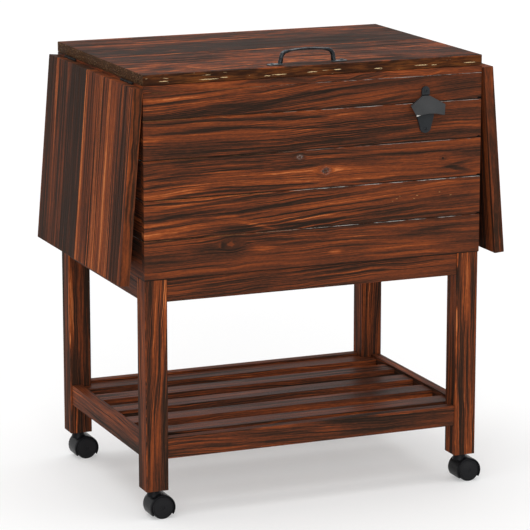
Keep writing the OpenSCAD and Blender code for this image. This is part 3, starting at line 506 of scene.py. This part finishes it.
# Chips on the lid's front edge: (along, up from the lid's top, half length)
LID_CHIPS = ((-200, -13.5, 20), (-172, -12, 8), (-282, -12.5, 10), (-70, -13, 16), (-92, -14, 7),
             (-8, -12, 11), (40, -10.5, 8), (118, -13, 9), (201, -12, 15), (226, -13, 6),
             (296, -12.5, 13))
dress("lid_boards",
      torched("lid_front", (0, -quarter_d, lid_top), X, Y, 81, tone=0.47, contrast=1.05, grain=0.45,
              short=2.2, lines=1.3, fine=1.6, coarse=6.0, fibres=1.8, chips_and_glints=0.5, gilt=0.9, end=half_lid,
              gloss=0.018, rough=0.55,
              dabs=[(at, -quarter_d / MM, up, long, 0.7, PALE_CHIP) for at, up, long in LID_CHIPS],
              marks=((0, 108, 500, 4, 0.45), (-60, 85, 300, 9, -0.1), (-100, -50, 400, 20, 0.08))),
      torched("lid_back", (0, quarter_d, lid_top), X, Y, 87, tone=0.37, contrast=1.1, grain=0.45,
              short=2.0, lines=1.2, fine=1.5, coarse=6.0, fibres=1.6, chips_and_glints=0.4, gilt=0.9, end=half_lid,
              gloss=0.018, rough=0.55,
              marks=((0, -52, 600, 50, -0.45), (-60, 20, 330, 3.5, 0.6), (0, 107, 600, 5, 0.5),
                     (150, 62, 200, 5, 0.35))))
sort_faces("lid_boards", lambda c: 0 if c.y < 0 else 1)
soften("lid_boards", 0.7 * MM)

leaf_front, leaf_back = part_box("leaf_left")[0].y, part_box("leaf_left")[1].y
leaf_seam = leaf_front + 239 * MM
leaf_thick = 19 * MM
# The height that the battens' grain is measured from
batten_z = 0.47
for side, s in (("left", -1), ("right", 1)):
    down = (s * math.sin(lean), 0, -math.cos(lean))
    top = (s * (half_w + 0.5 * MM), 0, rim_z - 2.5 * MM)
    outer = Vector((s * math.cos(lean), 0, math.sin(lean)))
    face = Vector(top) + outer * leaf_thick
    front_mid = (face.x, (leaf_front + leaf_seam) / 2, face.z)
    back_mid = (face.x, (leaf_seam + leaf_back) / 2, face.z)
    dress("leaf_" + side,
          torched(f"leaf_{side}_front", front_mid, down, (0, -1, 0), 91 + s, tone=0.605 + 0.015 * s,
                  contrast=1.25, wave=0.45, grain=0.75, short=0.6, lines=1.3, fine=1.4, coarse=2.0,
                  gilt=0.12 - 0.06 * s, gloss=0.011,
                  marks=((170, -112, 600, 8, 0.35), (170, -80, 600, 26, -0.12), (200, 5, 150, 18, 0.3),
                         (170, 40, 600, 16, 0.2), (170, 66, 600, 3, -0.5), (170, 79, 600, 2.5, -0.2),
                         (170, 100, 600, 13, 0.15), (170, 117, 600, 3, -0.4))),
          torched(f"leaf_{side}_back", back_mid, down, (0, -1, 0), 97 + s, tone=0.40 + 0.03 * s,
                  wave=0.45, grain=0.75, short=0.6, lines=1.2, coarse=2.0, gilt=0.35, gloss=0.014,
                  marks=((170, 78, 700, 34, -0.5), (170, 22, 700, 30, -0.25), (170, 10, 600, 4, 0.2),
                         (120, -42, 500, 20, 0.4), (170, -38, 600, 3, -0.3), (170, -90, 600, 14, -0.25),
                         (330, -106, 150, 15, 0.3), (170, 118, 600, 6, 0.6))),
          torched(f"leaf_{side}_batten", (0, 0, batten_z), Y, Z, 103 + s, tone=0.48))

    def leaf_slot(c, top=top, outer=outer):
        """2 for the batten and for the boards' inner face, and else the board's own slot."""
        if (c - Vector(top)).dot(outer) < 0.7 * MM:
            return 2
        return 0 if c.y < leaf_seam else 1

    sort_faces("leaf_" + side, leaf_slot)
    soften("leaf_" + side, 0.7 * MM)


# Legs, aprons and shelf

LEGS = {
    "fl": (-1, -1, dict(tone=0.53, slope=-0.04,
                        marks=((150, 12, 170, 7, -0.55), (-60, 15, 110, 3, -0.5), (120, -17, 150, 2, 0.4),
                               (-90, -6, 120, 3, 0.35), (-60, -14, 120, 1.6, -0.5), (60, -5, 160, 1.8, -0.45),
                               (-40, 4, 120, 1.5, -0.4)))),
    "fr": (1, -1, dict(tone=0.62, slope=0.02,
                       marks=((125, -2, 55, 7, 0.25), (125, 12, 70, 2.5, -0.5), (110, -13, 80, 2.5, -0.5),
                              (-20, 2, 80, 1.8, -0.5), (-80, -9, 90, 2, -0.5), (-60, 14, 120, 3, 0.3)))),
    "bl": (-1, 1, dict(tone=0.62, slope=0.03)),
    "br": (1, 1, dict(tone=0.58)),
}
# The height that the legs' marks are measured from
leg_z = 0.24
for i, (c, (sx, sy, own)) in enumerate(LEGS.items()):
    low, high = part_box("leg_" + c)
    mid = ((low.x + high.x) / 2, low.y if sy < 0 else high.y, leg_z)
    dress("leg_" + c, torched("leg_wood_" + c, mid, Z, (sx, 0, 0), 111 + 5 * i, contrast=1.2, lines=1.2,
                              fine=1.6, deep=1.0, gloss=0.02, **own))


def rail(name, along, seed):
    """Dresses an apron or a rail of the shelf. Its grain starts on its outer face."""
    low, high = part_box(name)
    face = low if name.endswith(("front", "left")) else high
    x, y = (0, face.y) if along == X else (face.x, 0)
    dress(name, torched(name + "_wood", (x, y, (low.z + high.z) / 2), along, Z, seed, tone=0.48,
                        lines=0.9, fine=1.3, deep=1.0))
    soften(name)


for i, name in enumerate(("apron_front", "apron_back", "shelf_rail_front", "shelf_rail_back")):
    rail(name, X, 131 + 3 * i)
for i, name in enumerate(("apron_left", "apron_right", "shelf_rail_left", "shelf_rail_right")):
    rail(name, Y, 151 + 3 * i)
for i in range(1, 6):
    low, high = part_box(f"shelf_slat_{i}")
    dress(f"shelf_slat_{i}", torched(f"slat_wood_{i}", (0, (low.y + high.y) / 2, high.z), X, Y,
                                     171 + 3 * i, tone=0.54, rough=0.38, deep=1.0))
    soften(f"shelf_slat_{i}", 0.5 * MM)


# Plain wood, foam, steel, rubber and plastic

def plain_wood(name, along, across, seed):
    web = Web(name)
    through = tuple(Vector(along).cross(Vector(across)))
    u, v, w = web.place((0, 0, 0), (along, across, through))
    sway = web.noise(u * 3, v * 10, w * 10 + seed) * 0.02
    rings = web.noise(u * 1.5, (v + sway) * 90, w * 90 + seed, detail=3.0)
    fibre = web.noise(u * 20, v * 1200, w * 1200)
    value = rings * 0.8 + fibre * 0.3 - 0.05
    colour = web.ramp(value, [(0.25, (0.24, 0.12, 0.05)), (0.5, (0.42, 0.25, 0.12)),
                              (0.75, (0.56, 0.37, 0.20))])
    web.surface(colour, 0.55 + fibre * 0.2, rings + fibre, depth=0.3 * MM)
    return web.set(Specular_IOR_Level=0.35)


dress("shelf_cleats", plain_wood("cleat_wood", Y, Z, 3))
dress("floor_panel", plain_wood("panel_wood", X, Y, 7))
dress("lid_battens", plain_wood("batten_wood", Y, X, 9))


def foam(name):
    web = Web(name)
    x, y, z = web.place()
    cells = web.cells(x * 900, y * 900, z * 900)
    broad = web.noise(x * 30, y * 30, z * 30, detail=3.0)
    colour = web.ramp(broad, [(0.3, (0.72, 0.66, 0.46)), (0.7, (0.86, 0.82, 0.66))])
    web.surface(colour, 0.85 + cells * 0.1, cells + broad, depth=0.4 * MM)
    return web.set(Specular_IOR_Level=0.25)


foam_look = foam("rigid_foam")
dress("insulation", foam_look)
dress("lid_foam", foam_look)


def brushed(name, along, across, colour=(0.62, 0.63, 0.64), rough=0.32):
    web = Web(name)
    through = tuple(Vector(along).cross(Vector(across)))
    u, v, w = web.place((0, 0, 0), (along, across, through))
    scratch = web.noise(u * 30, v * 2600, w * 2600, detail=3.0, rough=0.6)
    cloud = web.noise(u * 9, v * 9, w * 9)
    dark = tuple(c * 0.82 for c in colour)
    web.surface(web.mix(scratch.above(0.35, 0.65) * 0.5 + cloud * 0.5, dark, colour),
                scratch * 0.18 + cloud * 0.1 + (rough - 0.12), scratch, depth=0.05 * MM)
    return web.set(Metallic=1.0)


dress("tub", brushed("tub_look", X, Y))
soften("tub", 0.8 * MM)
dress("lid_liner", brushed("liner_look", X, Y, (0.68, 0.69, 0.70)))
soften("lid_liner")
dress("caster_sockets", brushed("socket_look", X, Y, (0.55, 0.56, 0.58), 0.35))


def moulded(name, colour, rough, spec=0.5, chips_and_glints=()):
    """Plastic, rubber or paint. chips are pale spots, each a painted glint: (place in mm, half length along
    X, half width).
    """
    web = Web(name)
    x, y, z = web.place()
    fine = web.noise(x * 1500, y * 1500, z * 1500)
    broad = web.noise(x * 25, y * 25, z * 25, detail=3.0)
    light = tuple(min(1.0, c * 1.5 + 0.006) for c in colour)
    shade = web.mix(broad.above(0.3, 0.75) * 0.6 + fine * 0.2, colour, light)
    # Each pale spot is a painted glint.
    for at, long, wide in chips_and_glints:
        jag = (web.noise(x * 600, y * 600, z * 600) - 0.5) * (2.0 * wide * MM)
        shade = web.mix(dab(x + jag, y + jag, z + jag, at, long, wide), shade, GREY_ASH_AND_GLINT)
    web.surface(shade, rough + broad * 0.14 - 0.07 + fine * 0.05, fine + broad * 0.6, depth=0.12 * MM)
    return web.set(Specular_IOR_Level=spec)


rubber_look = moulded("rubber_look", (0.022, 0.022, 0.023), 0.75, spec=0.3)
dress("lid_gasket", rubber_look)
dress("leaf_bumpers", rubber_look)
drain_look = moulded("drain_look", (0.70, 0.70, 0.67), 0.42, spec=0.45)
dress("drain_spigot", drain_look)
dress("drain_nut", drain_look)
soften("drain_nut")
black_plastic = moulded("black_plastic_look", (0.005, 0.005, 0.006), 0.28, spec=0.07)
tyre_look = moulded("wheel_look", (0.008, 0.008, 0.009), 0.36, spec=0.12)
dress("drain_cap", moulded("cap_look", (0.016, 0.016, 0.017), 0.4))


# Black iron, with its hammered or cast skin

def iron(name, colour=(0.020, 0.020, 0.022), hammer=0.0, rough=0.42, wear_and_painted_light=0.3, spec=0.5, metal=0.25,
         bright=None, painted_top_light=0.0):
    """hammer is how deep its dents are, worn how much of it takes the light colour, as bare worn
    metal and painted highlight, and rubbed how far that light colour is kept to its upper faces,
    a painted highlight from the light above."""
    web = Web(name)
    x, y, z = web.place()
    cast = web.noise(x * 700, y * 700, z * 700, detail=4.0, rough=0.65)
    broad = web.noise(x * 60, y * 60, z * 60, detail=3.0)
    height = cast * 0.5 + broad * 0.3
    if hammer:
        dents = web.cells(x * 190, y * 190, z * 190, feature="SMOOTH_F1")
        height = height + dents * hammer
    light = bright or tuple(c * 2.2 + 0.01 for c in colour)
    share = broad.above(0.35, 0.7) * 0.5 + cast.above(0.45, 0.7) * wear_and_painted_light
    # Painted highlight: faces that point up, towards the light, keep the light colour and the others lose
    # most of it.
    if painted_top_light:
        coord = web.node("ShaderNodeTexCoord")
        split = web.node("ShaderNodeSeparateXYZ")
        web.tree.links.new(coord.outputs["Normal"], split.inputs[0])
        share = share * (Signal(web, split.outputs["Z"]).above(0.3, 0.95) * painted_top_light + (1.0 - painted_top_light))
    web.surface(web.mix(share, colour, light), rough + cast * 0.24 - 0.12, height, depth=0.35 * MM)
    return web.set(Metallic=metal, Specular_IOR_Level=spec)


plate_iron = iron("plate_iron")
dark_iron = iron("dark_iron", (0.010, 0.008, 0.007), rough=0.7, wear_and_painted_light=0.08, spec=0.05)
for name in ("lid_hinge_plates", "lid_hinge_straps", "leaf_hinge_plates", "leaf_hinge_straps_left",
             "leaf_hinge_straps_right", "stay_brackets", "stay_arms_left", "stay_arms_right",
             "stay_seats_left", "stay_seats_right"):
    dress(name, plate_iron if "stay" in name else dark_iron)
    soften(name, 0.4 * MM)


# Helpers for the meshes that are made here

def piece(name, bm, body, slot, material, *replaced, smooth=30):
    """A mesh of the scene that rides on a body and may stand for CAD nodes."""
    mesh = bpy.data.meshes.new(name)
    bmesh.ops.recalc_face_normals(bm, faces=bm.faces)
    bm.to_mesh(mesh)
    bm.free()
    ob = bpy.data.objects.new(name, mesh)
    scene.collection.objects.link(ob)
    mesh.materials.append(material)
    mesh.shade_smooth()
    mesh.set_sharp_from_angle(angle=math.radians(smooth))
    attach(ob, body)
    if replaced:
        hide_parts(*replaced)
    return ob


def loft(bm, rings, closed=False):
    """Skins rings of equally many points, each ring closed round. closed joins the last to the first."""
    loops = [[bm.verts.new(p) for p in ring] for ring in rings]
    pairs = list(zip(loops, loops[1:]))
    if closed:
        pairs.append((loops[-1], loops[0]))
    for a, b in pairs:
        for i in range(len(a)):
            j = (i + 1) % len(a)
            bm.faces.new((a[i], a[j], b[j], b[i]))
    if not closed:
        bm.faces.new(loops[0][::-1])
        bm.faces.new(loops[-1])


def lathe(bm, place, axis, side, profile, steps=64):
    """Turns a profile of (along the axis, radius) points round an axis."""
    axis, side = Vector(axis), Vector(side)
    other = axis.cross(side)
    rings = []
    for i in range(steps):
        a = 2 * math.pi * i / steps
        out = side * math.cos(a) + other * math.sin(a)
        rings.append([Vector(place) + axis * s + out * r for s, r in profile])
    loft(bm, rings, closed=True)


def screw_head(bm, place, normal, radius, height, turn):
    """Domed head with a cross recess. turn is how far the cross is turned, in radians."""
    points, steps = 48, 8
    place = Vector(place)
    normal = Vector(normal).normalized()
    side = normal.orthogonal().normalized()
    side.rotate(Matrix.Rotation(turn, 3, normal))
    other = normal.cross(side)
    rings = []
    for k in range(1, steps + 1):
        share = k / steps
        ring = []
        for i in range(points):
            a = 2 * math.pi * i / points
            r = radius * share
            x, y = r * math.cos(a), r * math.sin(a)
            h = height * (1 - 0.55 * share ** 4)
            if min(abs(x), abs(y)) < radius * 0.16 and r < radius * 0.62:
                h -= height * 0.55
            ring.append(place + side * x + other * y + normal * h)
        rings.append(ring)
    rings.append([p - normal * (height * 0.45 + 0.2 * MM) for p in rings[-1]])
    centre = bm.verts.new(place + normal * height * 0.45)
    loops = [[bm.verts.new(p) for p in ring] for ring in rings]
    for i in range(points):
        j = (i + 1) % points
        bm.faces.new((centre, loops[0][i], loops[0][j]))
        for a, b in zip(loops, loops[1:]):
            bm.faces.new((a[i], b[i], b[j], a[j]))
    bm.faces.new(loops[-1][::-1])


# Handle: forged bow between two leaf-shaped feet

# The forged iron's light colour is a painted highlight on its upper faces, with some bare worn spots.
forged = iron("forged_iron", colour=(0.010, 0.012, 0.014), hammer=0.9, rough=0.32, wear_and_painted_light=0.9, metal=0.85,
              bright=(0.22, 0.245, 0.26), painted_top_light=0.85)
handle_lo, handle_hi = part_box("lid_handle")
handle_x = (handle_lo.x + handle_hi.x) / 2
handle_y = (handle_lo.y + handle_hi.y) / 2
post_x, bow_x = 51 * MM, 47 * MM
bow_z, bow_rise, bend_r = 21 * MM, 4.5 * MM, 12 * MM
foot_len = handle_hi.x - handle_x - post_x
screw_x = post_x + 0.6 * foot_len


def handle_line():
    """Half of the handle's middle line, from the right foot to the bow's middle: (x, z)."""
    bow = (bow_x ** 2 + bow_rise ** 2) / (2 * bow_rise)
    bow_c = bow_z + bow_rise - bow
    lean_in = math.atan2(post_x - bow_x, bow_z)
    px = post_x - bend_r * math.cos(lean_in)
    pz = -bend_r * math.sin(lean_in) - bow_c
    half = pz * math.cos(lean_in) - px * math.sin(lean_in)
    t = math.sqrt(half ** 2 + (bow - bend_r) ** 2 - px ** 2 - pz ** 2) - half
    bx, bz = px - t * math.sin(lean_in), pz + t * math.cos(lean_in)
    turn = math.atan2(bx, bz)
    line = [(post_x - math.sin(lean_in) * t * i / 8, math.cos(lean_in) * t * i / 8) for i in range(8)]
    for i in range(14):
        a = lean_in + (math.pi / 2 - turn - lean_in) * i / 14
        line.append((bx + bend_r * math.cos(a), bz + bow_c + bend_r * math.sin(a)))
    for i in range(31):
        a = turn * (1 - i / 30)
        line.append((bow * math.sin(a), bow_c + bow * math.cos(a)))
    return line


def handle_bow():
    """Round bow, thin in its middle and thick and hammered towards its feet."""
    half = handle_line()
    line = half + [(-x, z) for x, z in half[-2::-1]]
    lengths = [0.0]
    for (x0, z0), (x1, z1) in zip(line, line[1:]):
        lengths.append(lengths[-1] + math.hypot(x1 - x0, z1 - z0))
    total = lengths[-1]
    rings = []
    for i, (x, z) in enumerate(line):
        a, b = line[max(i - 1, 0)], line[min(i + 1, len(line) - 1)]
        along = Vector((b[0] - a[0], 0, b[1] - a[1])).normalized()
        out = Vector((along.z, 0, -along.x))
        s = abs(2 * lengths[i] / total - 1)
        grown = min(1.0, max(0.0, (s - 0.42) / 0.3))
        r = (1.9 + 1.8 * grown * grown * (3 - 2 * grown) + 0.5 * s ** 6) * MM
        ring = []
        for k in range(24):
            t = 2 * math.pi * k / 24
            d = out * math.cos(t) + Vector((0, 1, 0)) * math.sin(t)
            at = Vector((handle_x + x, handle_y, lid_top + z)) + d * r
            dent = noise.noise(at * 230) * 0.6 + noise.noise(at * 560) * 0.25
            ring.append(at + d * dent * MM * (0.2 + 0.8 * grown))
        rings.append(ring)
    rings[0] = [Vector((p.x, p.y, lid_top + 0.6 * MM)) for p in rings[0]]
    rings[-1] = [Vector((p.x, p.y, lid_top + 0.6 * MM)) for p in rings[-1]]
    bm = bmesh.new()
    loft(bm, rings)
    return bm


def handle_foot(bm, s):
    """Leaf-shaped foot, from behind its post to the pointed tip."""
    shape = [(-5.0, 0.6), (-4.4, 2.7), (-2.5, 4.3), (0, 4.9), (4, 4.5), (8, 4.6), (12, 5.5), (15, 5.9),
             (18, 5.3), (21, 3.9), (23.4, 2.1), (24.9, 0.5)]
    steps = 14
    rings = []
    for along, half in shape:
        x = handle_x + s * (post_x + along * MM)
        from_post = (along - 1) / 7
        upper = []
        lower = []
        for k in range(steps + 1):
            c = 2 * k / steps - 1
            y = handle_y + c * half * MM
            crown = math.sqrt(max(0.0, 1 - c * c))
            wave = noise.noise(Vector((along * 0.35 + s * 9, c * 1.6, 0.3))) * 0.35
            z = 0.7 + (1.9 * crown + wave * crown) * (0.72 + 0.28 * math.exp(-from_post * from_post))
            upper.append(Vector((x, y, lid_top + z * MM)))
            lower.append(Vector((x, y, lid_top + 0.05 * MM)))
        rings.append(upper + lower[::-1])
    loft(bm, rings)


piece("handle_bow", handle_bow(), "lid", "black_iron", forged, "lid_handle", smooth=60)
feet = bmesh.new()
for s in (-1, 1):
    handle_foot(feet, s)
piece("handle_feet", feet, "lid", "black_iron", forged, "lid_handle", smooth=60)
heads = bmesh.new()
for s in (-1, 1):
    screw_head(heads, (handle_x + s * screw_x, handle_y, lid_top + 2.6 * MM), Z, 3.2 * MM, 1.1 * MM,
               0.3 * s)
piece("handle_screw_heads", heads, "lid", "black_iron", forged, "handle_screws")


# Screw heads of the lid's hinges and of the stays' brackets

hinge_x, hinge_half = 200 * MM, 21 * MM
plate_face = half_d + 1.5 * MM
hinge_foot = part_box("lid_hinge_plates")[0].z + 8 * MM
strap_mid = lid_lo.z + 11 * MM
heads = bmesh.new()
strap_heads = bmesh.new()
for s in (-1, 1):
    for side in (-1, 1):
        x = s * hinge_x + side * hinge_half
        screw_head(heads, (x, plate_face, hinge_foot), Y, 3.4 * MM, 1.5 * MM, 0.3 * side + s)
        screw_head(strap_heads, (x, plate_face, strap_mid), Y, 3.2 * MM, 1.4 * MM, 0.5 * side - s)
piece("hinge_screw_heads", heads, "base", "black_iron", plate_iron)
piece("strap_screw_heads", strap_heads, "lid", "black_iron", plate_iron)

stay_y = 92 * MM
bracket_face = half_w + 1.6 * MM
bracket_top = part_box("stay_brackets")[1].z
heads = bmesh.new()
for s in (-1, 1):
    for y in (-stay_y, stay_y):
        for below in (7 * MM, 24 * MM):
            screw_head(heads, (s * bracket_face, y, bracket_top - below), (s, 0, 0), 3 * MM, 1.3 * MM,
                       0.4 + below * 90)
piece("bracket_screw_heads", heads, "base", "black_iron", plate_iron)


# Bottle opener

opener_lo, opener_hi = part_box("bottle_opener")
opener_x = (opener_lo.x + opener_hi.x) / 2
lug_r, tail_r, tail_half, plate_t = 7.5 * MM, 11 * MM, 16 * MM, 4 * MM
hood_half, hood_out, shoulder = 33.6 * MM, 25 * MM, 24.7 * MM
lip, lip_half, arch_rise, slot = 42 * MM, 27.4 * MM, 4 * MM, 1.8 * MM
opener_z = opener_hi.z - lug_r
opener_pitch = 69 * MM
opener_dark = moulded("opener_dark", (0.009, 0.011, 0.013), 0.45, spec=0.22)


def on_opener(u, v, out):
    """A point across and up from the middle of the upper screw, and out from the front."""
    return Vector((opener_x + u, front_y - out, opener_z + v))


# Painted glint: a pale spot at the left end of the lip, where its worn edge catches the light
lip_glint = on_opener(4.5 * MM - lip_half, 1.2 * MM - lip, hood_out - 0.6 * MM) / MM
opener_paint = moulded("opener_paint", (0.029, 0.030, 0.031), 0.5, spec=0.2, chips_and_glints=((lip_glint, 7, 1.5),))


def opener_plate():
    """The round lug, a thin neck behind the slot, and the tongue under the hood."""
    tail = tail_r - lug_r * 0.9 - opener_pitch
    lug = [(-lug_r, -lug_r)]
    for i in range(13):
        a = math.pi * (1 - i / 12)
        lug.append((lug_r * math.cos(a), lug_r * math.sin(a)))
    lug.append((lug_r, -lug_r))
    tongue = [(-lug_r, -lug_r - slot), (lug_r, -lug_r - slot), (tail_half, -shoulder),
              (tail_half, -lip - 5 * MM)]
    for i in range(13):
        a = -math.pi * i / 12
        tongue.append((tail_r * math.cos(a), tail + tail_r * math.sin(a)))
    tongue += [(-tail_half, -lip - 5 * MM), (-tail_half, -shoulder)]
    neck = [(-lug_r * 0.9, -lug_r * 0.9), (lug_r * 0.9, -lug_r * 0.9), (lug_r * 0.9, -lug_r * 1.3),
            (-lug_r * 0.9, -lug_r * 1.3)]
    bm = bmesh.new()
    for outline, front in ((lug, plate_t), (tongue, plate_t), (neck, 0.9 * MM)):
        loft(bm, [[on_opener(u, v, out) for u, v in outline] for out in (0.05 * MM, front)])
    return bm


def opener_hood():
    """Sloping pentagon with an arched lip, on side walls that lean in to the plate."""
    slope = (hood_out - plate_t) / (lip - lug_r)
    radius = (lip_half ** 2 + arch_rise ** 2) / (2 * arch_rise)
    turn = math.asin(lip_half / radius)
    arch = []
    for i in range(17):
        a = turn * (i / 8 - 1)
        arch.append((radius * math.sin(a), arch_rise - lip - radius * (1 - math.cos(a))))
    side = [(-lug_r, -lug_r - slot), (-hood_half, -shoulder)]
    outline = side + arch + [(-u, v) for u, v in reversed(side)]
    bm = bmesh.new()
    front = []
    back = []
    for u, v in outline:
        out = plate_t + slope * (-lug_r - v)
        front.append(bm.verts.new(on_opener(u, v, out)))
        back.append(on_opener(math.copysign(abs(u) - 0.42 * out, u), v, 0.1 * MM))
    bm.faces.new(front)
    last = len(outline) - 1
    walls = {i: bm.verts.new(back[i]) for i in (0, 1, 2, last - 2, last - 1, last)}
    for i in (0, 1, last - 2, last - 1, last):
        j = (i + 1) % len(outline)
        bm.faces.new((front[i], front[j], walls[j], walls[i]))
    return bm


hood = piece("opener_hood", opener_hood(), "base", "black_iron", opener_paint, "bottle_opener", smooth=25)
thick = hood.modifiers.new("thick", "SOLIDIFY")
thick.thickness = 2.2 * MM
thick.offset = -1
bevel_edges(hood, 0.9 * MM, 3, 25)
plate = piece("opener_plate", opener_plate(), "base", "black_iron", opener_dark, "bottle_opener")
bevel_edges(plate, 0.8 * MM, 3, 30)
heads = bmesh.new()
for z in (0, -opener_pitch):
    screw_head(heads, on_opener(0, z, plate_t - 0.1 * MM), (0, -1, 0), 3.4 * MM, 1.6 * MM, 0.5)
piece("opener_screw_heads", heads, "base", "black_iron", opener_dark, "opener_screws")


# Casters

def caster_hood(c):
    """Shell over a pair of wheels, the wall between them, and the neck and stem above."""
    lo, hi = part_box("caster_" + c)
    wheel_lo, wheel_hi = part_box("wheels_" + c)
    leg_lo, leg_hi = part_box("leg_" + c)
    centre = (wheel_lo + wheel_hi) / 2
    outer = hi.x - centre.x
    inner = (wheel_hi.z - wheel_lo.z) / 2 + 0.7 * MM
    wide = (hi.y - lo.y) / 2
    swivel_x = (leg_lo.x + leg_hi.x) / 2
    top = leg_lo.z - 1.9 * MM
    wall = 4 * MM
    bm = bmesh.new()
    profile = [(-wide + 0.1 * MM, inner + 0.3 * MM), (-wide, outer - 1.3 * MM),
               (-wide + 0.5 * MM, outer - 0.6 * MM), (-wide + 2 * MM, outer - 0.1 * MM),
               (-wide + 5 * MM, outer), (wide - 5 * MM, outer), (wide - 2 * MM, outer - 0.1 * MM),
               (wide - 0.5 * MM, outer - 0.6 * MM), (wide, outer - 1.3 * MM),
               (wide - 0.1 * MM, inner + 0.3 * MM), (wide - 1 * MM, inner), (-wide + 1 * MM, inner)]
    low = math.asin((centre.z - lo.z) / outer)
    steps = 56
    turns = [-low + (math.pi + 2 * low) * i / steps for i in range(steps + 1)]
    loft(bm, [[centre + Vector((r * math.cos(a), y, r * math.sin(a))) for y, r in profile] for a in turns])
    disc = [Vector((math.cos(a), 0, math.sin(a))) for a in turns]
    loft(bm, [[centre + d * (inner + 0.2 * MM) + Vector((0, y, 0)) for d in disc] for y in (-wall, wall)])
    lathe(bm, (swivel_x, centre.y, 0), Z, X,
          [(centre.z + inner * 0.9, 0.5 * MM), (centre.z + inner * 0.9, 13 * MM),
           (centre.z + outer * 0.93, 12.4 * MM), (top - 2.2 * MM, 11 * MM), (top - 0.7 * MM, 10.8 * MM),
           (top, 10 * MM), (top, 4 * MM), (top + 12 * MM, 3.9 * MM), (top + 12 * MM, 0.5 * MM)])
    return bm


def caster_wheel(c):
    """Two wheels on one axle, each with a rim round its sunk face."""
    lo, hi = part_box("wheels_" + c)
    centre, half, r = (lo + hi) / 2, (hi.y - lo.y) / 2, (hi.z - lo.z) / 2
    wide = 12 * MM
    bm = bmesh.new()
    for s in (-1, 1):
        profile = [(half - 1.1 * MM, 0.2 * MM), (half - 1.1 * MM, 3.2 * MM), (half - 0.4 * MM, 3.6 * MM),
                   (half - 0.4 * MM, r - 3.4 * MM), (half - 0.9 * MM, r - 3.0 * MM),
                   (half - 0.9 * MM, r - 2.4 * MM), (half - 0.1 * MM, r - 2.0 * MM),
                   (half, r - 1.4 * MM), (half - 0.3 * MM, r - 0.6 * MM), (half - 1.2 * MM, r),
                   (half - wide + 1.0 * MM, r), (half - wide, r - 1 * MM), (half - wide, 3.0 * MM),
                   (0, 3.0 * MM), (0, 0.2 * MM)]
        lathe(bm, centre, (0, s, 0), X, profile, steps=72)
    return bm


for c in ("fl", "fr", "bl", "br"):
    piece("hood_" + c, caster_hood(c), "swivel_" + c, "black_plastic", black_plastic, "caster_" + c,
          smooth=35)
    piece("wheel_pair_" + c, caster_wheel(c), "axle_" + c, "black_plastic", tyre_look, "wheels_" + c,
          smooth=35)


# Floor, world and lamps

FLOOR_HALF = 60.0
FLOOR_PAINT = (0.90, 0.90, 0.90, 1)
FLOOR_SEEN = (0.66, 0.66, 0.66, 1)
FLOOR_GLOW = 0.34
WHITE = (1, 1, 1, 1)


def seen_rays(tree):
    """1 for rays that show the background: from the camera, and through gloss and glass."""
    path = tree.nodes.new("ShaderNodeLightPath")
    last = path.outputs["Is Camera Ray"]
    for name in ("Is Glossy Ray", "Is Transmission Ray"):
        add = tree.nodes.new("ShaderNodeMath")
        add.operation = "MAXIMUM"
        tree.links.new(last, add.inputs[0])
        tree.links.new(path.outputs[name], add.inputs[1])
        last = add.outputs[0]
    return last


def studio():
    """Pale floor that takes the shadow. Where it is seen, part of its light is its own."""
    h = FLOOR_HALF
    mesh = bpy.data.meshes.new("floor")
    mesh.from_pydata([(-h, -h, 0), (h, -h, 0), (h, h, 0), (-h, h, 0)], [], [(0, 1, 2, 3)])
    floor = bpy.data.objects.new("floor", mesh)
    scene.collection.objects.link(floor)
    m = bpy.data.materials.new("floor_paint")
    m.use_nodes = True
    tree = m.node_tree
    tree.nodes.clear()
    out = tree.nodes.new("ShaderNodeOutputMaterial")
    paint = tree.nodes.new("ShaderNodeBsdfDiffuse")
    shade = tree.nodes.new("ShaderNodeMix")
    shade.data_type = "RGBA"
    shade.inputs[6].default_value = FLOOR_PAINT
    shade.inputs[7].default_value = FLOOR_SEEN
    white = tree.nodes.new("ShaderNodeEmission")
    both = tree.nodes.new("ShaderNodeAddShader")
    share = tree.nodes.new("ShaderNodeMath")
    share.operation = "MULTIPLY"
    share.inputs[1].default_value = FLOOR_GLOW
    seen = seen_rays(tree)
    tree.links.new(seen, share.inputs[0])
    tree.links.new(seen, shade.inputs[0])
    tree.links.new(shade.outputs[2], paint.inputs["Color"])
    tree.links.new(share.outputs[0], white.inputs["Strength"])
    tree.links.new(paint.outputs[0], both.inputs[0])
    tree.links.new(white.outputs[0], both.inputs[1])
    tree.links.new(both.outputs[0], out.inputs[0])
    mesh.materials.append(m)


def sky(strength):
    """White world: full where it is seen, and of a strength where it lights the object."""
    world = bpy.data.worlds.new("sky")
    scene.world = world
    world.use_nodes = True
    tree = world.node_tree
    back = tree.nodes["Background"]
    back.inputs["Color"].default_value = WHITE
    level = tree.nodes.new("ShaderNodeMapRange")
    level.inputs["To Min"].default_value = strength
    level.inputs["To Max"].default_value = 1.0
    tree.links.new(seen_rays(tree), level.inputs["Value"])
    tree.links.new(level.outputs[0], back.inputs["Strength"])


def sun(name, towards, strength, soft):
    lamp = bpy.data.lights.new(name, "SUN")
    lamp.energy = strength
    lamp.angle = math.radians(soft)
    ob = bpy.data.objects.new(name, lamp)
    ob.rotation_euler = Vector(towards).to_track_quat("Z", "Y").to_euler()
    scene.collection.objects.link(ob)


scene.view_settings.view_transform = "Standard"
studio()
sky(0.55)
sun("key", (-0.05, 0.04, 0.97), 1.35, 60)
sun("front", (-0.33, -0.90, 0.30), 1.2, 45)
